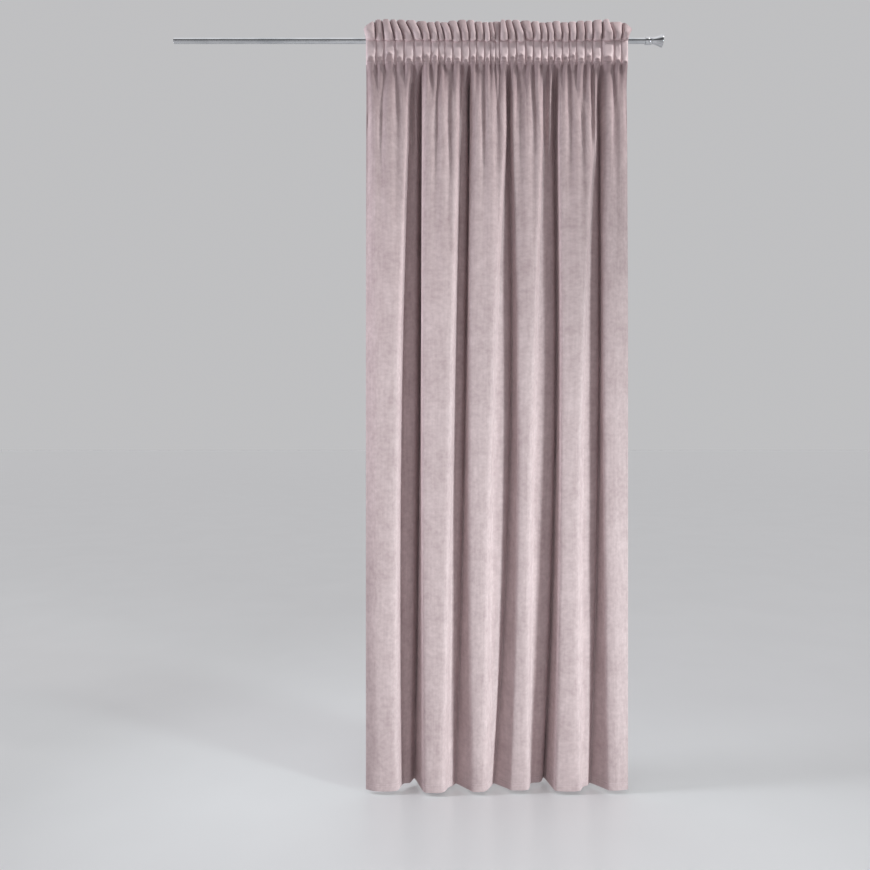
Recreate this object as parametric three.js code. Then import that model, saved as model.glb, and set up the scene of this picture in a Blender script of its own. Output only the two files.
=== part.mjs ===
// A gathered velvet curtain with a frilled tape top, hanging on a thin metal rod with a trumpet finial.
// Millimetres, +Z up, +X to the right of someone who faces the curtain, -Y towards them.
// The origin is on the rod's axis, halfway across the gathered width.
import * as THREE from "three";

const CLOTH_WIDTH = 1400;
const HANGING_WIDTH = 922;
const HEM_Z = -2643;
const FRILL_Z = 57;

const ROD_RADIUS = 10;
const ROD_LEFT_X = -1142;
const ROD_RIGHT_X = 538;
const ROD_EDGE = 0.8;
const SEAT_GAP = 0.3;
const SEAM_GAP = 0.6;
const ROUND_SIDES = 32;

const CLOTH_THICKNESS = 2;
const DOUBLED_THICKNESS = 3;
const TAPE_THICKNESS = 1.5;

// Each pleat has one column at the slit behind it and three over its rounded front.
const COLUMNS_PER_PLEAT = 4;
const SLIT_PINCH = 0.03;

// The gathers along the heading, grouped by the big fold that they fall into. Each pleat has its width
// along the rod and its lean: how far the top of its right-hand slit stands to the left of the foot.
const FRILL_LEFT_END_LEAN = 8;
const GATHERS = [
  { widths: [36, 28, 39, 32, 35, 32, 28], leans: [4, 6, 18, 26, 30, 24, 14] },
  { widths: [28, 21, 28, 32, 28, 25], leans: [14, 17, 17, 16, 10, 7] },
  { widths: [28, 21, 18, 14, 32, 28], leans: [7, 7, 10, -4, 12, 17] },
  { widths: [32, 28, 28, 25, 21, 28], leans: [20, 8, 7, 10, 7, 7] },
  { widths: [25, 25, 32, 25, 32], leans: [4, 0, 4, 0, -4] },
  { widths: [45, 25, 25], leans: [20, -6, -14] },
];

// The heading from its top edge down to the lower stitching. Slit is where the back of each pleat lies,
// depth is how far the pleat stands forward as a share of its width, flat squares its front, lean is
// the share of the slits' lean that is left.
const HEADING = [
  { z: FRILL_Z, slit: -11, depth: 0.46, flat: 2.6, lean: 1, thickness: DOUBLED_THICKNESS },
  { z: 34, slit: -13.5, depth: 0.5, flat: 3.2, lean: 0.62, thickness: DOUBLED_THICKNESS },
  { z: 8, slit: -16.6, depth: 0.56, flat: 3.6, lean: 0.2, thickness: DOUBLED_THICKNESS },
  { z: -7, slit: -16.2, depth: 0.34, flat: 4.4, lean: 0, thickness: CLOTH_THICKNESS },
  { z: -32, slit: -15, depth: 0.38, flat: 5, lean: 0, thickness: CLOTH_THICKNESS },
  { z: -62, slit: -14, depth: 0.56, flat: 3.4, lean: 0, thickness: CLOTH_THICKNESS },
  { z: -89, slit: -14, depth: 0.42, flat: 4, lean: 0, thickness: CLOTH_THICKNESS },
];
const GATHER_ROW = 3;
const STITCH_ROW = 6;

// The six big folds of the skirt, left to right. Start and end bound the lit front of a fold, crease is
// the foot of the next fold's left flank, depth is how far the valley behind the end reaches back and
// turn is how far to the right of the end it gets there; each is given below the heading, halfway down
// and at the hem. Back sets the whole front back, middle bows it and floor flattens the valley's floor.
// Ridges are the places of the small ridges that run down from the gathers.
const SKIRT_TOP_Z = -330;
const FOLDS = [
  {
    start: [-461, -461, -461],
    end: [-312, -345, -343],
    crease: [-264, -272, -290],
    depth: [72, 88, 92],
    turn: [2, 4, 5],
    back: 10,
    middle: true,
    floor: true,
    ridges: [-435, -382, -323, -288],
  },
  {
    start: [-264, -265, -259],
    end: [-134, -160, -180],
    crease: [-92, -110, -116],
    depth: [56, 64, 58],
    turn: [4, 4, 6],
    back: 0,
    middle: true,
    floor: false,
    ridges: [-242, -193, -148, -113],
  },
  {
    start: [-94, -104, -94],
    end: [32, -17, -32],
    crease: [49, 53, 12],
    depth: [56, 66, 58],
    turn: [2, 3, 5],
    back: 6,
    middle: true,
    floor: false,
    ridges: [-71, -25, 24, 56],
  },
  {
    start: [52, 70, 43],
    end: [164, 127, 116],
    crease: [216, 216, 180],
    depth: [60, 74, 98],
    turn: [3, 3, 3],
    back: 14,
    middle: false,
    floor: true,
    ridges: [104, 150, 186],
  },
  {
    start: [214, 221, 201],
    end: [344, 298, 298],
    crease: [372, 372, 368],
    depth: [56, 68, 62],
    turn: [2, 3, 4],
    back: 8,
    middle: false,
    floor: false,
    ridges: [230, 279, 322, 351],
  },
  {
    start: [371, 373, 385],
    end: [461, 461, 461],
    back: 15,
    middle: true,
    floor: false,
    ridges: [395, 442],
  },
];
const FRONT_EDGE_REACH = 12;
const FRONT_BOW_PLACE = 0.42;
const FRONT_BOW = 4;
const START_ROUNDING = 7;
const FLANK_REACH = 6;
const EDGE_RUN = 26;
const LEFT_CURL = 11;
const RIGHT_CURL = 5;
// The valley's wall comes down in two close corners, its floor slopes to a narrow slot at the crease.
const WALL_SHARE = 0.62;
const WALL_FOOT = 0.16;
const WALL_TURN = 6;
const FLOOR_SLOPE = 0.64;
const SLOT_REACH = 15;
const SLOT_SHARE = 0.7;
const CREASE_REACH = 5;
const CREASE_SHARE = 0.97;
const RIDGE_END_REACH = 16;
const EVEN_SHARE = 0.45;
const FINE_STEPS = 12;
const DEPTH_STEPS = 24;
const SHALLOWEST = 0.6;
const DEEPEST = 1.6;

// The rows of the skirt. Straight is how far the columns still run straight down from the heading, pleats
// what is left of the gathers, folds how far the big folds have opened, ridge the height of the small
// ridges and front the plane of the foremost folds.
const SKIRT = [
  { z: -112, straight: 1, pleats: 1, folds: 0.16, ridge: 0.4, front: -27, thickness: CLOTH_THICKNESS },
  { z: -155, straight: 1, pleats: 0.6, folds: 0.38, ridge: 1.4, front: -28, thickness: CLOTH_THICKNESS },
  { z: -210, straight: 0.9, pleats: 0.3, folds: 0.56, ridge: 2.4, front: -30, thickness: CLOTH_THICKNESS },
  { z: -290, straight: 0.6, pleats: 0.12, folds: 0.7, ridge: 2.8, front: -32, thickness: CLOTH_THICKNESS },
  { z: -400, straight: 0.3, pleats: 0.03, folds: 0.84, ridge: 2.4, front: -34, thickness: CLOTH_THICKNESS },
  { z: -560, straight: 0.1, pleats: 0, folds: 0.95, ridge: 1.6, front: -36, thickness: CLOTH_THICKNESS },
  { z: -780, straight: 0, pleats: 0, folds: 1, ridge: 0.8, front: -38, thickness: CLOTH_THICKNESS },
  { z: -1080, straight: 0, pleats: 0, folds: 1, ridge: 0, front: -40, thickness: CLOTH_THICKNESS },
  { z: -1420, straight: 0, pleats: 0, folds: 1, ridge: 0, front: -40, thickness: CLOTH_THICKNESS },
  { z: -1780, straight: 0, pleats: 0, folds: 1, ridge: 0, front: -40, thickness: CLOTH_THICKNESS },
  { z: -2140, straight: 0, pleats: 0, folds: 1, ridge: 0, front: -40, thickness: CLOTH_THICKNESS },
  { z: -2440, straight: 0, pleats: 0, folds: 1, ridge: 0, front: -40, thickness: CLOTH_THICKNESS },
  { z: -2621, straight: 0, pleats: 0, folds: 1, ridge: 0, front: -40, thickness: CLOTH_THICKNESS },
  { z: HEM_Z, straight: 0, pleats: 0, folds: 1, ridge: 0, front: -40, thickness: DOUBLED_THICKNESS },
];

// The tape's way round the rod, as angles from straight behind the rod up and over to its front.
const TAPE_ANGLES = [160, 115, 70, 25, -20];
const TAPE_ANGLE_STEP = 45;
const TAPE_END_INSET = 0.15;
const TAPE_PLEAT_SHARE = 0.24;
const TAPE_HALFWAY = 0.5;

const FINIAL = {
  collarStart: 526.3,
  collarLength: 22,
  collarRadius: 13.5,
  collarEdge: 1,
  grooveStart: 12,
  grooveWidth: 4.5,
  grooveRadius: 11.8,
  trumpetLength: 38,
  neckLength: 3,
  neckRadius: 7.5,
  throatRadius: 10.5,
  flareSteps: 6,
  flarePower: 1.35,
  mouthRadius: 21.5,
  lipWidth: 3,
  lipRound: 0.8,
  mouthDish: 6,
};

const velvet = new THREE.MeshStandardMaterial({
  color: "#c4b0b4",
  roughness: 0.85,
  metalness: 0,
});
const wovenTape = new THREE.MeshStandardMaterial({
  color: "#e6e0dc",
  roughness: 0.9,
  metalness: 0,
});
const chrome = new THREE.MeshStandardMaterial({
  color: "#c8cacc",
  roughness: 0.18,
  metalness: 1,
});

// The pleats of the heading

const pleats = GATHERS.flatMap((group) =>
  group.widths.map((width, i) => ({ width, lean: group.leans[i] })),
);
const pleatWidthSum = pleats.reduce((sum, pleat) => sum + pleat.width, 0);
const slits = [{ x: -HANGING_WIDTH / 2, lean: FRILL_LEFT_END_LEAN }];
for (const { width, lean } of pleats) {
  const x = slits.at(-1).x + (width * HANGING_WIDTH) / pleatWidthSum;
  slits.push({ x, lean });
}

// A point on the heading's middle surface, a number of pleats from the left edge.
function headingPoint(row, along) {
  const first = Math.min(Math.floor(along), pleats.length - 1);
  const within = along - first;
  const left = slits[first];
  const right = slits[first + 1];
  const footWidth = right.x - left.x;
  const leftX = left.x - left.lean * row.lean;
  const rightX = right.x - right.lean * row.lean;
  const pinched = within - SLIT_PINCH * Math.sin(2 * Math.PI * within);
  const forward = 1 - Math.abs(Math.cos(Math.PI * within)) ** row.flat;
  return new THREE.Vector3(
    THREE.MathUtils.lerp(leftX, rightX, pinched),
    row.slit - row.depth * footWidth * forward,
    row.z,
  );
}

// The folds of the skirt

// A value given at the top, halfway down and at the hem, read at a height on a smooth curve.
function atHeight([top, middle, hem], z) {
  const down = THREE.MathUtils.clamp((z - SKIRT_TOP_Z) / (HEM_Z - SKIRT_TOP_Z), 0, 1);
  const straight = THREE.MathUtils.lerp(top, hem, down);
  return straight + (middle - (top + hem) / 2) * 4 * down * (1 - down);
}

// The corners of the section at one height, as x and the depth behind the foremost front.
function sectionCorners(z) {
  const corners = [];
  const add = (x, depth) => corners.push(new THREE.Vector2(x, depth));
  FOLDS.forEach((fold, i) => {
    const { back } = fold;
    const start = atHeight(fold.start, z);
    const end = atHeight(fold.end, z);
    if (i === 0) {
      add(start, back + LEFT_CURL);
      add(start + EDGE_RUN, back);
    } else {
      add(start, back + START_ROUNDING);
      add(start + FLANK_REACH, back - 1);
    }
    if (fold.middle) {
      add(THREE.MathUtils.lerp(start, end, FRONT_BOW_PLACE), back - FRONT_BOW);
    }
    if (i === FOLDS.length - 1) {
      add(end - EDGE_RUN, back);
      add(end, back + RIGHT_CURL);
      return;
    }
    const depth = atHeight(fold.depth, z);
    const crease = atHeight(fold.crease, z);
    const wall = end + atHeight(fold.turn, z);
    add(end - FRONT_EDGE_REACH, back - FRONT_BOW / 2);
    add(end, back + FRONT_EDGE_REACH);
    add(wall, depth * (WALL_SHARE - WALL_FOOT));
    add(wall + WALL_TURN, depth * WALL_SHARE);
    if (fold.floor) {
      add((wall + WALL_TURN + crease) / 2, depth * FLOOR_SLOPE);
    }
    add(crease - SLOT_REACH, depth * SLOT_SHARE);
    add(crease - CREASE_REACH, depth);
    add(crease, THREE.MathUtils.lerp(FOLDS[i + 1].back, depth, CREASE_SHARE));
  });
  return corners;
}

// A smooth curve guided by corners, at a number of corner steps from its start.
function guidedPoint(corners, along) {
  const first = Math.min(Math.floor(along), corners.length - 3);
  const t = along - first;
  const [a, b, c] = corners.slice(first, first + 3);
  return new THREE.Vector2()
    .addScaledVector(a, 0.5 * (1 - t) ** 2)
    .addScaledVector(b, 0.5 + t - t * t)
    .addScaledVector(c, 0.5 * t * t);
}

const ridgePlaces = [
  -HANGING_WIDTH / 2 - RIDGE_END_REACH,
  ...FOLDS.flatMap((fold) => fold.ridges),
  HANGING_WIDTH / 2 + RIDGE_END_REACH,
];

// One on top of a small ridge and minus one halfway to the next.
function ridgeWave(x) {
  const next = Math.max(1, ridgePlaces.findIndex((place) => place > x));
  const [left, right] = ridgePlaces.slice(next - 1, next + 1);
  return Math.cos((2 * Math.PI * (x - left)) / (right - left));
}

function sectionLength(points) {
  return points.slice(1).reduce((sum, point, i) => sum + point.distanceTo(points[i]), 0);
}

// A guided curve in fine steps: the place of each step, where it lies across, and the cloth up to it.
function traceCurve(guides) {
  const count = (guides.length - 2) * FINE_STEPS;
  const places = Array.from({ length: count + 1 }, (_, i) => i / FINE_STEPS);
  const points = places.map((place) => guidedPoint(guides, place));
  const lengths = [0];
  points.slice(1).forEach((point, i) => lengths.push(lengths[i] + point.distanceTo(points[i])));
  return { places, across: points.map((point) => point.x), lengths };
}

// The place on a traced curve where one of its measures reaches a wanted value.
function placeWhere(places, measures, wanted) {
  const found = measures.findIndex((measure) => measure >= wanted);
  const next = found < 0 ? measures.length - 1 : Math.max(1, found);
  const share = (wanted - measures[next - 1]) / (measures[next] - measures[next - 1]);
  return THREE.MathUtils.lerp(places[next - 1], places[next], THREE.MathUtils.clamp(share, 0, 1));
}

// One row of the skirt: the gathers fade into the big folds, whose depth takes up the cloth's width.
function skirtRow(row) {
  const corners = sectionCorners(row.z);
  const guides = [corners.at(0), ...corners, corners.at(-1)];
  const { places, across, lengths } = traceCurve(guides);
  const columns = pleats.length * COLUMNS_PER_PLEAT;
  const stitching = { ...HEADING[STITCH_ROW], z: row.z };
  const spread = Array.from({ length: columns + 1 }, (_, i) => {
    const along = i / COLUMNS_PER_PLEAT;
    const even = placeWhere(places, lengths, (lengths.at(-1) * i) / columns);
    const stepped = (places.at(-1) * i) / columns;
    const turned = THREE.MathUtils.lerp(stepped, even, EVEN_SHARE);
    const gathered = headingPoint(stitching, along);
    const straight = placeWhere(places, across, gathered.x);
    return {
      place: THREE.MathUtils.lerp(turned, straight, row.straight),
      pleat: (gathered.y - stitching.slit) * row.pleats,
    };
  });
  const mean = row.pleats * (stitching.slit - row.front);
  const rowAtDepth = (scale) =>
    spread.map(({ place, pleat }) => {
      const folded = guidedPoint(guides, place);
      const depth = folded.y * row.folds * scale;
      const ridge = row.ridge * scale * ridgeWave(folded.x);
      return new THREE.Vector3(folded.x, row.front + depth - ridge + pleat + mean, row.z);
    });
  let shallow = SHALLOWEST;
  let deep = DEEPEST;
  for (let step = 0; step < DEPTH_STEPS; step += 1) {
    const scale = (shallow + deep) / 2;
    if (sectionLength(rowAtDepth(scale)) < CLOTH_WIDTH) {
      shallow = scale;
    } else {
      deep = scale;
    }
  }
  return rowAtDepth(deep);
}

// A closed sheet round a grid of points

// The direction away from the room at each point of a grid.
function gridNormals(rows) {
  return rows.map((row, r) => {
    const above = rows[Math.max(r - 1, 0)];
    const below = rows[Math.min(r + 1, rows.length - 1)];
    return row.map((point, i) => {
      const up = above[i].clone().sub(below[i]);
      const across = row[Math.min(i + 1, row.length - 1)].clone().sub(row[Math.max(i - 1, 0)]);
      return up.cross(across).normalize();
    });
  });
}

// The triangles between two neighbouring rows.
function stripTriangles(upper, lower) {
  return lower.slice(1).flatMap((next, i) => [
    [upper[i], lower[i], upper[i + 1]],
    [upper[i + 1], lower[i], next],
  ]);
}

function closedSheet(rows, thicknesses) {
  const normals = gridNormals(rows);
  const positions = [];
  const layer = (side) =>
    rows.map((row, r) =>
      row.map((point, i) => {
        const shifted = point.clone().addScaledVector(normals[r][i], (side * thicknesses[r]) / 2);
        positions.push(...shifted.toArray());
        return positions.length / 3 - 1;
      }),
    );
  const back = layer(1);
  const front = layer(-1);
  const triangles = [];
  for (let r = 0; r < rows.length - 1; r += 1) {
    triangles.push(...stripTriangles(front[r], front[r + 1]));
    triangles.push(...stripTriangles(back[r], back[r + 1]).map(([a, b, c]) => [a, c, b]));
  }
  const rim = [
    ...front[0].toReversed(),
    ...front.slice(1, -1).map((row) => row[0]),
    ...front.at(-1),
    ...front.slice(1, -1).map((row) => row.at(-1)).toReversed(),
  ];
  const backRim = [
    ...back[0].toReversed(),
    ...back.slice(1, -1).map((row) => row[0]),
    ...back.at(-1),
    ...back.slice(1, -1).map((row) => row.at(-1)).toReversed(),
  ];
  rim.forEach((corner, i) => {
    const next = (i + 1) % rim.length;
    triangles.push([corner, backRim[i], backRim[next]], [corner, backRim[next], rim[next]]);
  });
  const geometry = new THREE.BufferGeometry();
  geometry.setAttribute("position", new THREE.Float32BufferAttribute(positions, 3));
  geometry.setIndex(triangles.flat());
  geometry.computeVertexNormals();
  return geometry;
}

// The cloth: frill, gathered band, folded skirt and hem in one piece.
function clothGeometry() {
  const columns = pleats.length * COLUMNS_PER_PLEAT;
  const heading = HEADING.map((row) =>
    Array.from({ length: columns + 1 }, (_, i) => headingPoint(row, i / COLUMNS_PER_PLEAT)),
  );
  const rows = [...heading, ...SKIRT.map(skirtRow)];
  const thicknesses = [...HEADING, ...SKIRT].map((row) => row.thickness);
  return closedSheet(rows, thicknesses);
}

// The tape: sewn to the cloth's back in front of the rod, over the rod, down behind it, and sewn on
// again along the lower stitching. It is gathered with the cloth, one fold to each pleat.
function tapeGeometry() {
  const places = Array.from({ length: 2 * pleats.length + 1 }, (_, i) =>
    THREE.MathUtils.clamp(i / 2, TAPE_END_INSET, pleats.length - TAPE_END_INSET),
  );
  const behindCloth = (rowNumber) => {
    const row = HEADING[rowNumber];
    const setBack = row.thickness / 2 + SEAM_GAP + TAPE_THICKNESS / 2;
    return places.map((along) => headingPoint(row, along).add(new THREE.Vector3(0, setBack, 0)));
  };
  const seam = behindCloth(GATHER_ROW);
  const stitching = behindCloth(STITCH_ROW);
  const clearRadius =
    (ROD_RADIUS + SEAT_GAP) / Math.cos(THREE.MathUtils.degToRad(TAPE_ANGLE_STEP / 2));
  const roundRod = TAPE_ANGLES.map((degrees) => {
    const angle = THREE.MathUtils.degToRad(degrees);
    return seam.map(({ x }, i) => {
      const crest = i % 2 === 1;
      const width = pleats[Math.min(Math.floor(i / 2), pleats.length - 1)].width;
      const proud = crest ? TAPE_PLEAT_SHARE * width : 0;
      const radius = clearRadius + TAPE_THICKNESS / 2 + proud;
      return new THREE.Vector3(x, radius * Math.cos(angle), radius * Math.sin(angle));
    });
  });
  const halfway = stitching.map((point, i) => point.clone().lerp(roundRod.at(-1)[i], TAPE_HALFWAY));
  const rows = [seam, ...roundRod, halfway, stitching];
  return closedSheet(rows, rows.map(() => TAPE_THICKNESS));
}

// The rod and its finial

// A turned piece whose outline runs from the axis and back to it, laid along the rod from a place on it.
function turnedPiece(outline, startX, name, material) {
  const points = outline.map(([radius, along]) => new THREE.Vector2(radius, along));
  const piece = new THREE.Mesh(new THREE.LatheGeometry(points, ROUND_SIDES), material);
  piece.name = name;
  piece.rotation.z = -Math.PI / 2;
  piece.position.x = startX;
  return piece;
}

function makeRod() {
  const length = ROD_RIGHT_X - ROD_LEFT_X;
  return turnedPiece(
    [
      [0, 0],
      [ROD_RADIUS - ROD_EDGE, 0],
      [ROD_RADIUS, ROD_EDGE],
      [ROD_RADIUS, length],
      [0, length],
    ],
    ROD_LEFT_X,
    "curtain_rod",
    chrome,
  );
}

// The collar slides over the end of the rod and is closed behind it.
function makeCollar() {
  const { collarStart, collarLength, collarRadius, collarEdge } = FINIAL;
  const { grooveStart, grooveWidth, grooveRadius } = FINIAL;
  const bore = ROD_RADIUS + SEAT_GAP;
  const boreDepth = ROD_RIGHT_X + SEAT_GAP - collarStart;
  const grooveSlope = grooveWidth / 3;
  return turnedPiece(
    [
      [0, boreDepth],
      [bore, boreDepth],
      [bore, 0],
      [collarRadius - collarEdge, 0],
      [collarRadius, collarEdge],
      [collarRadius, grooveStart],
      [grooveRadius, grooveStart + grooveSlope],
      [grooveRadius, grooveStart + 2 * grooveSlope],
      [collarRadius, grooveStart + grooveWidth],
      [collarRadius, collarLength - collarEdge],
      [collarRadius - collarEdge, collarLength],
      [0, collarLength],
    ],
    collarStart,
    "finial_collar",
    chrome,
  );
}

// The trumpet flares from a narrow neck to a wide, slightly dished mouth.
function makeTrumpet() {
  const { collarStart, collarLength, trumpetLength, neckLength, neckRadius } = FINIAL;
  const { throatRadius, flareSteps, flarePower, mouthRadius } = FINIAL;
  const { lipWidth, lipRound, mouthDish } = FINIAL;
  const flareEnd = trumpetLength - 2 * lipRound;
  const outline = [
    [0, 0],
    [neckRadius, 0],
    [neckRadius, neckLength],
  ];
  for (let i = 0; i <= flareSteps; i += 1) {
    const share = i / flareSteps;
    const radius = THREE.MathUtils.lerp(throatRadius, mouthRadius, share ** flarePower);
    outline.push([radius, THREE.MathUtils.lerp(neckLength, flareEnd, share)]);
  }
  outline.push([mouthRadius - lipRound, trumpetLength]);
  outline.push([mouthRadius - lipWidth, trumpetLength]);
  outline.push([0, trumpetLength - mouthDish]);
  const startX = collarStart + collarLength + SEAT_GAP;
  return turnedPiece(outline, startX, "finial_trumpet", chrome);
}

const cloth = new THREE.Mesh(clothGeometry(), velvet);
cloth.name = "curtain_cloth";
const tape = new THREE.Mesh(tapeGeometry(), wovenTape);
tape.name = "heading_tape";

const curtain = new THREE.Group();
curtain.add(cloth, tape, makeRod(), makeCollar(), makeTrumpet());

export default curtain;
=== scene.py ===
"""A gathered velvet curtain with a frilled tape top, hung on a chromed rod with a trumpet finial."""
import logging
import math
from dataclasses import dataclass
from enum import Enum
from typing import Any

import bpy
import numpy as np
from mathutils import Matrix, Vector, noise


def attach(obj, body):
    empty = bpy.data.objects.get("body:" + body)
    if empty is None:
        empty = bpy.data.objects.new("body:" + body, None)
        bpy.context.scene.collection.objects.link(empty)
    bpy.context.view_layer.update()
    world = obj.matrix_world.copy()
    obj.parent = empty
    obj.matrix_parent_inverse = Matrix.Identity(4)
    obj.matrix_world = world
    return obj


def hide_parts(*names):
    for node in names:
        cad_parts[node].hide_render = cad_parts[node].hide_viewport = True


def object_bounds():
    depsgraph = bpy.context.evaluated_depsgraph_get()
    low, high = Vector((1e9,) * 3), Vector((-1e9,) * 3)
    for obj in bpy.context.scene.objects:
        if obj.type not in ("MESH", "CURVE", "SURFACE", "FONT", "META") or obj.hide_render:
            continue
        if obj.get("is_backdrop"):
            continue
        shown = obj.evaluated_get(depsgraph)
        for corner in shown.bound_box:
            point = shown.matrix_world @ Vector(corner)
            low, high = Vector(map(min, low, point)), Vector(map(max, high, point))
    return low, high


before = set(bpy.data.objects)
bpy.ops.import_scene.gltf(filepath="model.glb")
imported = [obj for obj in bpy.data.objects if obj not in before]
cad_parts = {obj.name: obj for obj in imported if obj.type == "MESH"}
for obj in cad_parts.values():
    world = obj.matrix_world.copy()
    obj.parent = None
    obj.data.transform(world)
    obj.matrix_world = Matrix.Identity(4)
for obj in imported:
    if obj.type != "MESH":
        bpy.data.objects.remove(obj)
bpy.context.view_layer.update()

LOG = logging.getLogger("curtain")

# The tables below are in millimetres, as a maker notes them, and the frame is in metres.
MM = 0.001
BODY = "root"
# A sheet's rounded edge is a quarter as thick as the sheet.
EDGE_SHARE = 0.25
# Random grain seldom leaves this range.
GRAIN_RANGE = (0.3, 0.7)
SHARP_DEGREES = 40


class Slot(Enum):
    """The record's material slots."""

    VELVET = "velvet"
    TAPE = "woven_tape"
    CHROME = "rod_chrome"


def linear_colour(hex_code: str) -> tuple[float, float, float, float]:
    """Turns an sRGB hex colour into a linear one.

    Args:
        hex_code: The colour as #rrggbb.

    Returns:
        Linear red, green and blue, and an alpha of one.
    """
    channels = []
    for start in (1, 3, 5):
        value = int(hex_code[start : start + 2], 16) / 255
        channels.append(value / 12.92 if value <= 0.04045 else ((value + 0.055) / 1.055) ** 2.4)
    return channels[0], channels[1], channels[2], 1.0


def smooth_step(values: np.ndarray) -> np.ndarray:
    """Eases values from 0 to 1, held at the ends."""
    held = np.clip(values, 0, 1)
    return held * held * (3 - 2 * held)


def bell(distances: np.ndarray | float) -> np.ndarray:
    """One at a distance of zero, fading smoothly to nothing at about two."""
    return np.exp(-np.square(distances))


def read_smoothly(places: np.ndarray, values: np.ndarray, at: float) -> np.ndarray:
    """Reads values given at rising places on a smooth curve that doesn't overshoot them.

    Args:
        places: Where the values are given, rising.
        values: One row of values for each place.
        at: The place to read at.

    Returns:
        The row of values there.
    """
    at = float(np.clip(at, places[0], places[-1]))
    gaps = np.diff(places)
    slopes = np.diff(values, axis=0) / gaps[:, None]
    tangents = np.zeros_like(values)
    before, after = slopes[:-1], slopes[1:]
    same_way = before * after > 0
    total = np.where(same_way, before + after, 1)
    tangents[1:-1] = np.where(same_way, 2 * before * after / total, 0)
    tangents[0], tangents[-1] = slopes[0], slopes[-1]
    k = int(np.clip(np.searchsorted(places, at, side="right") - 1, 0, len(gaps) - 1))
    t = (at - places[k]) / gaps[k]
    from_left = (1 + 2 * t) * (1 - t) ** 2 * values[k] + t * (1 - t) ** 2 * gaps[k] * tangents[k]
    from_right = t * t * (3 - 2 * t) * values[k + 1] - t * t * (1 - t) * gaps[k] * tangents[k + 1]
    return from_left + from_right


def uneven(pleats: np.ndarray, beat: tuple[float, float]) -> np.ndarray:
    """A value from -1 to 1 that differs from pleat to pleat, the same each run.

    Args:
        pleats: The pleats' numbers.
        beat: The step from pleat to pleat, and the value's start.

    Returns:
        One value for each pleat.
    """
    return np.sin(beat[0] * pleats + beat[1])


@dataclass(frozen=True)
class Unevenness:
    """Smooth random bumps over the cloth, the same each run: their rise, spacing, pattern and slant."""

    rise: float
    width: float
    height: float
    seed: float
    slant: float = 0

    def at(self, across: np.ndarray, down: float) -> np.ndarray:
        """Reads the bumps along one height.

        Args:
            across: Places along the cloth's width.
            down: The height they are at.

        Returns:
            A rise for each place.
        """
        places = across + self.slant * down
        found = [noise.noise(Vector((a / self.width, down / self.height, self.seed))) for a in places]
        return self.rise * np.array(found)


@dataclass(frozen=True)
class GatherGroup:
    """The pleats of the heading that fall into one big fold, with each pleat's width and lean."""

    widths: tuple[float, ...]
    leans: tuple[float, ...]


@dataclass(frozen=True)
class HeadingRow:
    """The heading at one height: the slits, the pleats' depth and shape, and the lean that is left."""

    z: float
    slit: float
    depth: float
    flat: float
    lean: float


@dataclass(frozen=True)
class BigFold:
    """A big fold of the skirt, each size given below the heading, halfway down and at the hem."""

    start: tuple[float, float, float]
    end: tuple[float, float, float]
    crease: tuple[float, float, float] = (0, 0, 0)
    depth: tuple[float, float, float] = (0, 0, 0)
    turn: tuple[float, float, float] = (0, 0, 0)
    back: float = 0
    middle: bool = True
    floor: bool = False
    ridges: tuple[float, ...] = ()


@dataclass(frozen=True)
class SkirtRow:
    """The skirt at one height: what is left of the gathers and how far the big folds have opened."""

    z: float
    straight: float
    pleats: float
    folds: float
    ridge: float
    front: float


@dataclass(frozen=True)
class SoftCrease:
    """A listed crease: a straight line down the cloth, raised, or sunk if its rise is negative."""

    top: tuple[float, float]
    foot: tuple[float, float]
    width: float
    rise: float


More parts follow.
